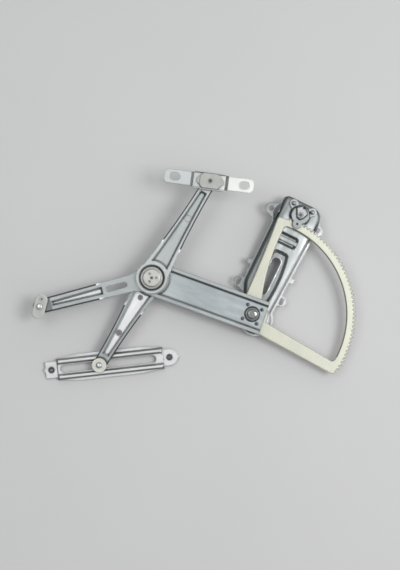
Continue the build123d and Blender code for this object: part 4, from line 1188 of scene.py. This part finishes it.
@dataclass
class Bead:
    """A rolled bead along a closed long slot that lies in the linkage plane."""

    name: str
    body: Body
    finish: Finish
    start: Vector
    end: Vector
    half_width: float
    width: float
    foot: float
    top: float
    slot: Slot = Slot.PLATE
    end_parts: int = 20
    section_parts: int = 6

    def build(self) -> bpy.types.Object:
        """Sweep a half-round section round the slot.

        Returns:
            The new object.
        """
        mesh = bmesh.new()
        section = self.section()
        rings = []
        for centre, out in self.path():
            ring = []
            for reach, rise in section:
                spot = centre + out * (self.half_width + reach)
                ring.append(mesh.verts.new(spot + Vector((0, 0, self.foot + rise))))
            rings.append(ring)
        for ring, after in zip(rings, rings[1:] + rings[:1]):
            for step in range(len(section)):
                other = (step + 1) % len(section)
                mesh.faces.new((ring[step], after[step], after[other], ring[other]))
        return finished(mesh, self.name, self.body, self.finish)

    def path(self) -> list[tuple[Vector, Vector]]:
        """The slot's outline as two half turns.

        Returns:
            For each step, the end that it turns about and the direction away from it.
        """
        along = (self.end - self.start).normalized()
        turn = math.atan2(along.y, along.x)
        path = []
        for centre, first in ((self.end, turn - math.pi / 2), (self.start, turn + math.pi / 2)):
            for step in range(self.end_parts + 1):
                path.append((centre, flat_direction(first + math.pi * step / self.end_parts)))
        return path

    def section(self) -> list[Pair]:
        """The bead's half-round section.

        Returns:
            Distance from the slot's edge and height above the foot, point by point.
        """
        height = self.top - self.foot
        section = []
        for part in range(self.section_parts + 1):
            angle = math.pi * part / self.section_parts
            section.append((self.width * (0.5 - 0.5 * math.cos(angle)), height * math.sin(angle)))
        return section


@dataclass
class Gusset:
    """A pressed fillet that sweeps from the tray's side wall down on to a lug."""

    name: str
    body: Body
    finish: Finish
    station: float
    wall: float
    reach: float
    half_length: float
    foot: float
    rise: float
    slot: Slot = Slot.PLATE
    spans: int = 20
    rows: int = 8
    taper: float = 1.6
    hollow: float = 1.7
    end_reach: float = 0.12
    end_rise: float = 0.04
    bury: float = 0.0006

    def build(self) -> bpy.types.Object:
        """Lay a curved skin over the lug's root and close it underneath.

        Returns:
            The new object.
        """
        mesh = bmesh.new()
        skin, floor = [], []
        for span in range(self.spans + 1):
            along = 2.0 * span / self.spans - 1.0
            spots = self.line(along)
            skin.append([mesh.verts.new(spot) for spot in spots])
            floor.append([mesh.verts.new((x, y, self.foot - self.bury)) for x, y, _ in spots])
        for layer in (skin, floor):
            for line, after in zip(layer, layer[1:]):
                for row in range(self.rows):
                    mesh.faces.new((line[row], after[row], after[row + 1], line[row + 1]))
        edge = self.border()
        for (a, b), (c, d) in zip(edge, edge[1:] + edge[:1]):
            mesh.faces.new((skin[a][b], skin[c][d], floor[c][d], floor[a][b]))
        return finished(mesh, self.name, self.body, self.finish)

    def line(self, along: float) -> list[tuple[float, float, float]]:
        """One line of the skin, from the wall out on to the lug.

        Args:
            along: Where the line lies, from -1 to 1.

        Returns:
            Its points.
        """
        narrow = 1.0 - abs(along) ** self.taper
        width = (self.reach - self.wall) * (self.end_reach + (1 - self.end_reach) * narrow)
        height = self.rise * (self.end_rise + (1 - self.end_rise) * narrow)
        points = []
        for row in range(self.rows + 1):
            out = row / self.rows
            spot = on_plate(self.station + along * self.half_length, self.wall + width * out)
            points.append((spot.x, spot.y, self.foot + height * (1.0 - out) ** self.hollow))
        return points

    def border(self) -> list[tuple[int, int]]:
        """The outer points of the grid, in order round it.

        Returns:
            The span and the row of each.
        """
        edge = [(span, 0) for span in range(self.spans)]
        edge += [(self.spans, row) for row in range(self.rows)]
        edge += [(self.spans - span, self.rows) for span in range(self.spans)]
        return edge + [(0, self.rows - row) for row in range(self.rows)]


@dataclass
class SubAssembly:
    """A group of CAD nodes on one body, with the finish of each."""

    body: Body
    finishes: dict[str, Finish] = field(default_factory=dict)

    def build(self) -> None:
        """Dress every node, then make the pieces that only the scene has."""
        for node, finish in self.finishes.items():
            self.dress(node, finish)
        self.detail()

    def dress(self, node: str, finish: Finish) -> None:
        """Give a CAD node its finish.

        Args:
            node: The node's name.
            finish: What covers it.
        """
        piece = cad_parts[node]
        for slot in piece.material_slots:
            slot.material = finish.material()
        LOG.info("dressed %s on %s with %s", node, self.body.value, finish.name)

    def crown(self, node: str, radius: float, rise: float) -> None:
        """Put a domed crown in a node's own finish on its upper end.

        Args:
            node: The node's name.
            radius: The crown's radius.
            rise: How far it stands above the node.
        """
        Crown(node, self.body, self.finishes[node], radius, rise).build()

    def detail(self) -> None:
        """Pieces of the scene's own; none by default."""


@dataclass
class BasePlate(SubAssembly):
    """The pressed plate with its bridge, pivot and brake drum."""

    body: Body = Body.BASE
    finishes: dict[str, Finish] = field(
        default_factory=lambda: {
            "base_plate": PLATE_ZINC,
            "pinion_bridge": BRIDGE_ZINC,
            "bridge_rivet_left": RIVET_ZINC,
            "bridge_rivet_right": RIVET_ZINC,
            "drive_bush": DARK_STEEL,
            "brake_drum": PLATE_ZINC,
            "pivot_stud": STUD_ZINC,
            "pivot_washer": PLATE_ZINC,
        }
    )
    rivet_crown: Pair = (0.0026, 0.0005)
    stud_crown: Pair = (0.0070, 0.0015)
    arm_face: float = 0.0184
    # A thin black ring round the stud's head, as radius and height: painted shade.
    shade_ring: tuple[Pair, ...] = (
        (0.0104, 0.00035),
        (0.0107, 0.0006),
        (0.0114, 0.0006),
        (0.0118, 0.00035),
        (0.0114, 0.0003),
        (0.0107, 0.0003),
    )
    window_stations: Pair = (0.032, 0.091)
    window_across: float = -0.0007
    window_half: float = 0.00625
    bead_gap: float = 0.0005
    bead_width: float = 0.0022
    bead_foot: float = 0.0071
    bead_top: float = 0.0079
    lug_station: float = 0.1544
    lug_walls: Pair = (0.0285, -0.0315)
    lug_reaches: Pair = (0.0362, -0.0345)
    gusset_half: float = 0.0150
    gusset_foot: float = 0.0018
    gusset_rise: float = 0.0070

    def detail(self) -> None:
        """Bead the window, fillet the lugs, crown the rivets and the stud, and paint a dark ring
        round the stud.
        """
        self.bead_window()
        self.fillet_lugs()
        self.crown("pivot_stud", *self.stud_crown)
        for side in ("left", "right"):
            self.crown(f"bridge_rivet_{side}", *self.rivet_crown)
        self.shade_pivot()

    def bead_window(self) -> None:
        """Roll a bead round the window's edge."""
        start, end = self.window_stations
        Bead(
            "window_bead", self.body, BEAD_ZINC,
            on_plate(start + self.window_half, self.window_across),
            on_plate(end - self.window_half, self.window_across),
            self.window_half + self.bead_gap, self.bead_width, self.bead_foot, self.bead_top,
        ).build()

    def fillet_lugs(self) -> None:
        """Sweep a fillet from the tray's wall on to each of the upper lugs."""
        for side, wall, reach in zip(("left", "right"), self.lug_walls, self.lug_reaches):
            Gusset(
                f"lug_gusset_{side}", self.body, GUSSET_SHADE_ZINC, self.lug_station, wall, reach,
                self.gusset_half, self.gusset_foot, self.gusset_rise,
            ).build()

    def shade_pivot(self) -> None:
        """Lay a thin black ring on the arm's face round the stud: painted shade in the gap round
        its head.
        """
        low, high = corners_of("pivot_stud")
        middle = (low + high) / 2
        section = [(radius, self.arm_face + rise) for radius, rise in self.shade_ring]
        Turned(
            "pivot_shade_ring", self.body, BLACK_STEEL, (middle.x, middle.y), section
        ).build()


@dataclass
class Drive(SubAssembly):
    """The pinion and its spindle."""

    body: Body = Body.PINION
    finishes: dict[str, Finish] = field(default_factory=lambda: {"drive_pinion": DARK_STEEL})
    spindle_radius: float = 0.005
    spindle_axis: Pair = (0.0, 0.0)
    seat_start: float = 0.0052
    seat_length: float = 0.0066
    seat_sink: float = 0.0004
    seat_chamfer: float = 0.0003
    serration: float = 0.00035
    serration_count: int = 36

    def detail(self) -> None:
        """Serrate the crank seat above the clip groove."""
        low, _ = corners_of("drive_pinion")
        start = low.z + self.seat_start
        end = start + self.seat_length
        crest, foot = self.spindle_radius, self.spindle_radius - self.seat_sink
        section = [
            (foot, start),
            (crest, start + self.seat_chamfer),
            (crest, end - self.seat_chamfer),
            (foot, end),
        ]
        Turned(
            "crank_seat_serrations", self.body, DARK_STEEL, self.spindle_axis, section,
            teeth=self.serration_count, tooth_height=self.serration, tooth_rows=(1, 2),
        ).build()


ARM_RIVETS = tuple(f"arm_rivet_{number}" for number in range(1, 5))


@dataclass
class Lift(SubAssembly):
    """The toothed sector with the main arm."""

    body: Body = Body.LIFT
    finishes: dict[str, Finish] = field(
        default_factory=lambda: {
            "sector_gear": SECTOR_CHROMATE,
            "main_arm": ARM_ZINC,
            "shoe_pin": GLOSSY_ZINC,
            **dict.fromkeys(ARM_RIVETS, BLACK_STEEL),
        }
    )
    rivet_crown: Pair = (0.0018, 0.0005)
    pin_crown: Pair = (0.0034, 0.0006)

    def detail(self) -> None:
        """Crown the four rivets that join arm and sector, and the shoe's pin."""
        for rivet in ARM_RIVETS:
            self.crown(rivet, *self.rivet_crown)
        self.crown("shoe_pin", *self.pin_crown)


@dataclass
class CrossingArm(SubAssembly):
    """The two halves of the crossing arm with their hub."""

    body: Body = Body.CROSS
    finishes: dict[str, Finish] = field(
        default_factory=lambda: {
            "aux_arm_upper": UPPER_ZINC,
            "aux_arm_lower": LOWER_ZINC,
            "hub_bush": DARK_STEEL,
            "hub_rivet": HUB_ZINC,
            "rail_cap": CREAM_NYLON,
            "rail_pin": BRIGHT_ZINC,
            "bracket_pin": PIN_STEEL,
        }
    )
    pin_crown: Pair = (0.0032, 0.0008)

    def detail(self) -> None:
        """Put a glossy crown on the pin at the rail."""
        Crown("rail_pin", self.body, GLOSSY_ZINC, *self.pin_crown).build()


@dataclass
class ArmShoe(SubAssembly):
    """The shoe that slides in the glass channel."""

    body: Body = Body.SHOE
    finishes: dict[str, Finish] = field(default_factory=lambda: {"main_arm_shoe": MILKY_NYLON})


@dataclass
class Slider(SubAssembly):
    """The slider in the guide rail."""

    body: Body = Body.SLIDER
    finishes: dict[str, Finish] = field(default_factory=lambda: {"rail_slider": CREAM_NYLON})


@dataclass
class GuideRail(SubAssembly):
    """The slotted rail with its two nuts."""

    body: Body = Body.RAIL
    finishes: dict[str, Finish] = field(
        default_factory=lambda: {
            "guide_rail": RAIL_ZINC,
            "rail_nut_left": BLACK_STEEL,
            "rail_nut_right": BLACK_STEEL,
        }
    )


@dataclass
class GlassBracket(SubAssembly):
    """The bracket for the glass channel and its nylon block."""

    body: Body = Body.BRACKET
    finishes: dict[str, Finish] = field(
        default_factory=lambda: {"glass_bracket": BRACKET_ZINC, "pivot_block": GREY_NYLON}
    )


@dataclass
class Lamp:
    """A square soft lamp aimed at a point of the table."""

    name: str
    azimuth: float
    elevation: float
    size: float
    power: float
    distance: float = 1.9

    def light(self, target: Vector) -> None:
        """Hang the lamp.

        Args:
            target: The point that it is aimed at.
        """
        lamp = bpy.data.lights.new(self.name, "AREA")
        lamp.shape = "SQUARE"
        lamp.size = self.size
        lamp.energy = self.power
        holder = bpy.data.objects.new(self.name, lamp)
        bpy.context.scene.collection.objects.link(holder)
        rise = math.radians(self.elevation)
        away = flat_direction(math.radians(self.azimuth)) * math.cos(rise)
        away.z = math.sin(rise)
        holder.location = target + away * self.distance
        holder.rotation_euler = (-away).to_track_quat("-Z", "Y").to_euler()
        LOG.info("hung lamp %s", self.name)


@dataclass
class Studio:
    """Table, lamps, surroundings and camera."""

    centre: Pair = (-0.14795, -0.1026)
    plane_height: float = 0.015
    view_height: float = 0.8425
    camera_distance: float = 1.6
    sensor: float = 36.0
    table_size: float = 8.0
    table_parts: int = 8
    table_tilt: float = 3.9
    table_gap: float = 0.0002
    ceiling: Colour = (0.90, 0.905, 0.91)
    ceiling_beams: Colour = (0.34, 0.345, 0.35)
    horizon: Colour = (0.78, 0.78, 0.785)
    lit_side: Colour = (1.05, 1.05, 1.04)
    dim_side: Colour = (0.07, 0.075, 0.08)
    lit_azimuth: float = 30.0
    side_span: Pair = (-0.75, 0.75)
    wall_span: Pair = (0.06, 0.20)
    ceiling_span: Pair = (0.62, 0.90)
    beams: Pattern = Pattern(3.2, 2.0)
    beam_span: Pair = (0.36, 0.64)
    lamps: Sequence[Lamp] = (
        Lamp("lamp_right", 6.0, 57.0, 0.8, 14.5),
        Lamp("lamp_left", 150.0, 60.0, 0.9, 4.5),
    )

    def build(self) -> None:
        """Set the whole studio up."""
        self.set_table()
        self.set_world()
        for lamp in self.lamps:
            lamp.light(Vector((*self.centre, 0.0)))
        self.set_camera()

    def set_table(self) -> None:
        """Lay the table so that spindle and rail both rest on it."""
        tilt = math.radians(self.table_tilt)
        normal = Vector((0.0, math.sin(tilt), math.cos(tilt)))
        lowest = min(
            normal.dot(vertex.co)
            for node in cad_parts.values()
            for vertex in node.data.vertices
        )
        mesh = bmesh.new()
        bmesh.ops.create_grid(
            mesh, x_segments=self.table_parts, y_segments=self.table_parts, size=self.table_size / 2
        )
        data = bpy.data.meshes.new("studio_table")
        mesh.to_mesh(data)
        mesh.free()
        table = bpy.data.objects.new("studio_table", data)
        bpy.context.scene.collection.objects.link(table)
        table.rotation_euler = (-tilt, 0.0, 0.0)
        table.location = normal * (lowest - self.table_gap)
        data.materials.append(Backdrop().material())
        LOG.info("laid the table at %.1f degrees", self.table_tilt)

    def set_world(self) -> None:
        """Put up a soft room: a pale horizon, a lit and a dim side, and a ceiling with beams."""
        world = bpy.data.worlds.new("studio_room")
        bpy.context.scene.world = world
        world.use_nodes = True
        tree = Tree(world.node_tree)
        direction = tree.signal(tree.add(Kind.COORDINATE), "Generated")
        spot = tree.add(Kind.SPLIT, {}, {0: direction})
        lit = math.radians(self.lit_azimuth)
        facing = tree.signal(spot, "X") * math.cos(lit) + tree.signal(spot, "Y") * math.sin(lit)
        sides = tree.mix(facing.step(*self.side_span), self.dim_side, self.lit_side)
        beams = self.beams.over(direction).step(*self.beam_span)
        ceiling = tree.mix(beams, self.ceiling_beams, self.ceiling)
        height = tree.signal(spot, "Z")
        walls = tree.mix(height.step(*self.wall_span), self.horizon, sides)
        room = tree.mix(height.step(*self.ceiling_span), walls, ceiling)
        background = tree.add(Kind.BACKGROUND, {}, {"Color": room, "Strength": 1.0})
        tree.add(Kind.WORLD_OUTPUT, {}, {"Surface": tree.signal(background)})

    def set_camera(self) -> None:
        """Look straight down on the linkage plane."""
        camera = bpy.data.cameras.new("camera")
        camera.sensor_width = self.sensor
        camera.lens = self.sensor * self.camera_distance / self.view_height
        holder = bpy.data.objects.new("camera", camera)
        bpy.context.scene.collection.objects.link(holder)
        holder.location = (*self.centre, self.plane_height + self.camera_distance)
        bpy.context.scene.camera = holder
        bpy.context.scene.view_settings.view_transform = "Standard"


def main() -> None:
    """Dress the regulator and set the studio up."""
    logging.basicConfig(level=logging.INFO, format="%(name)s: %(message)s")
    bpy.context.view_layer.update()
    for group in (BasePlate, Drive, Lift, CrossingArm, ArmShoe, Slider, GuideRail, GlassBracket):
        group().build()
    Studio().build()


if __name__ == "__main__":
    main()
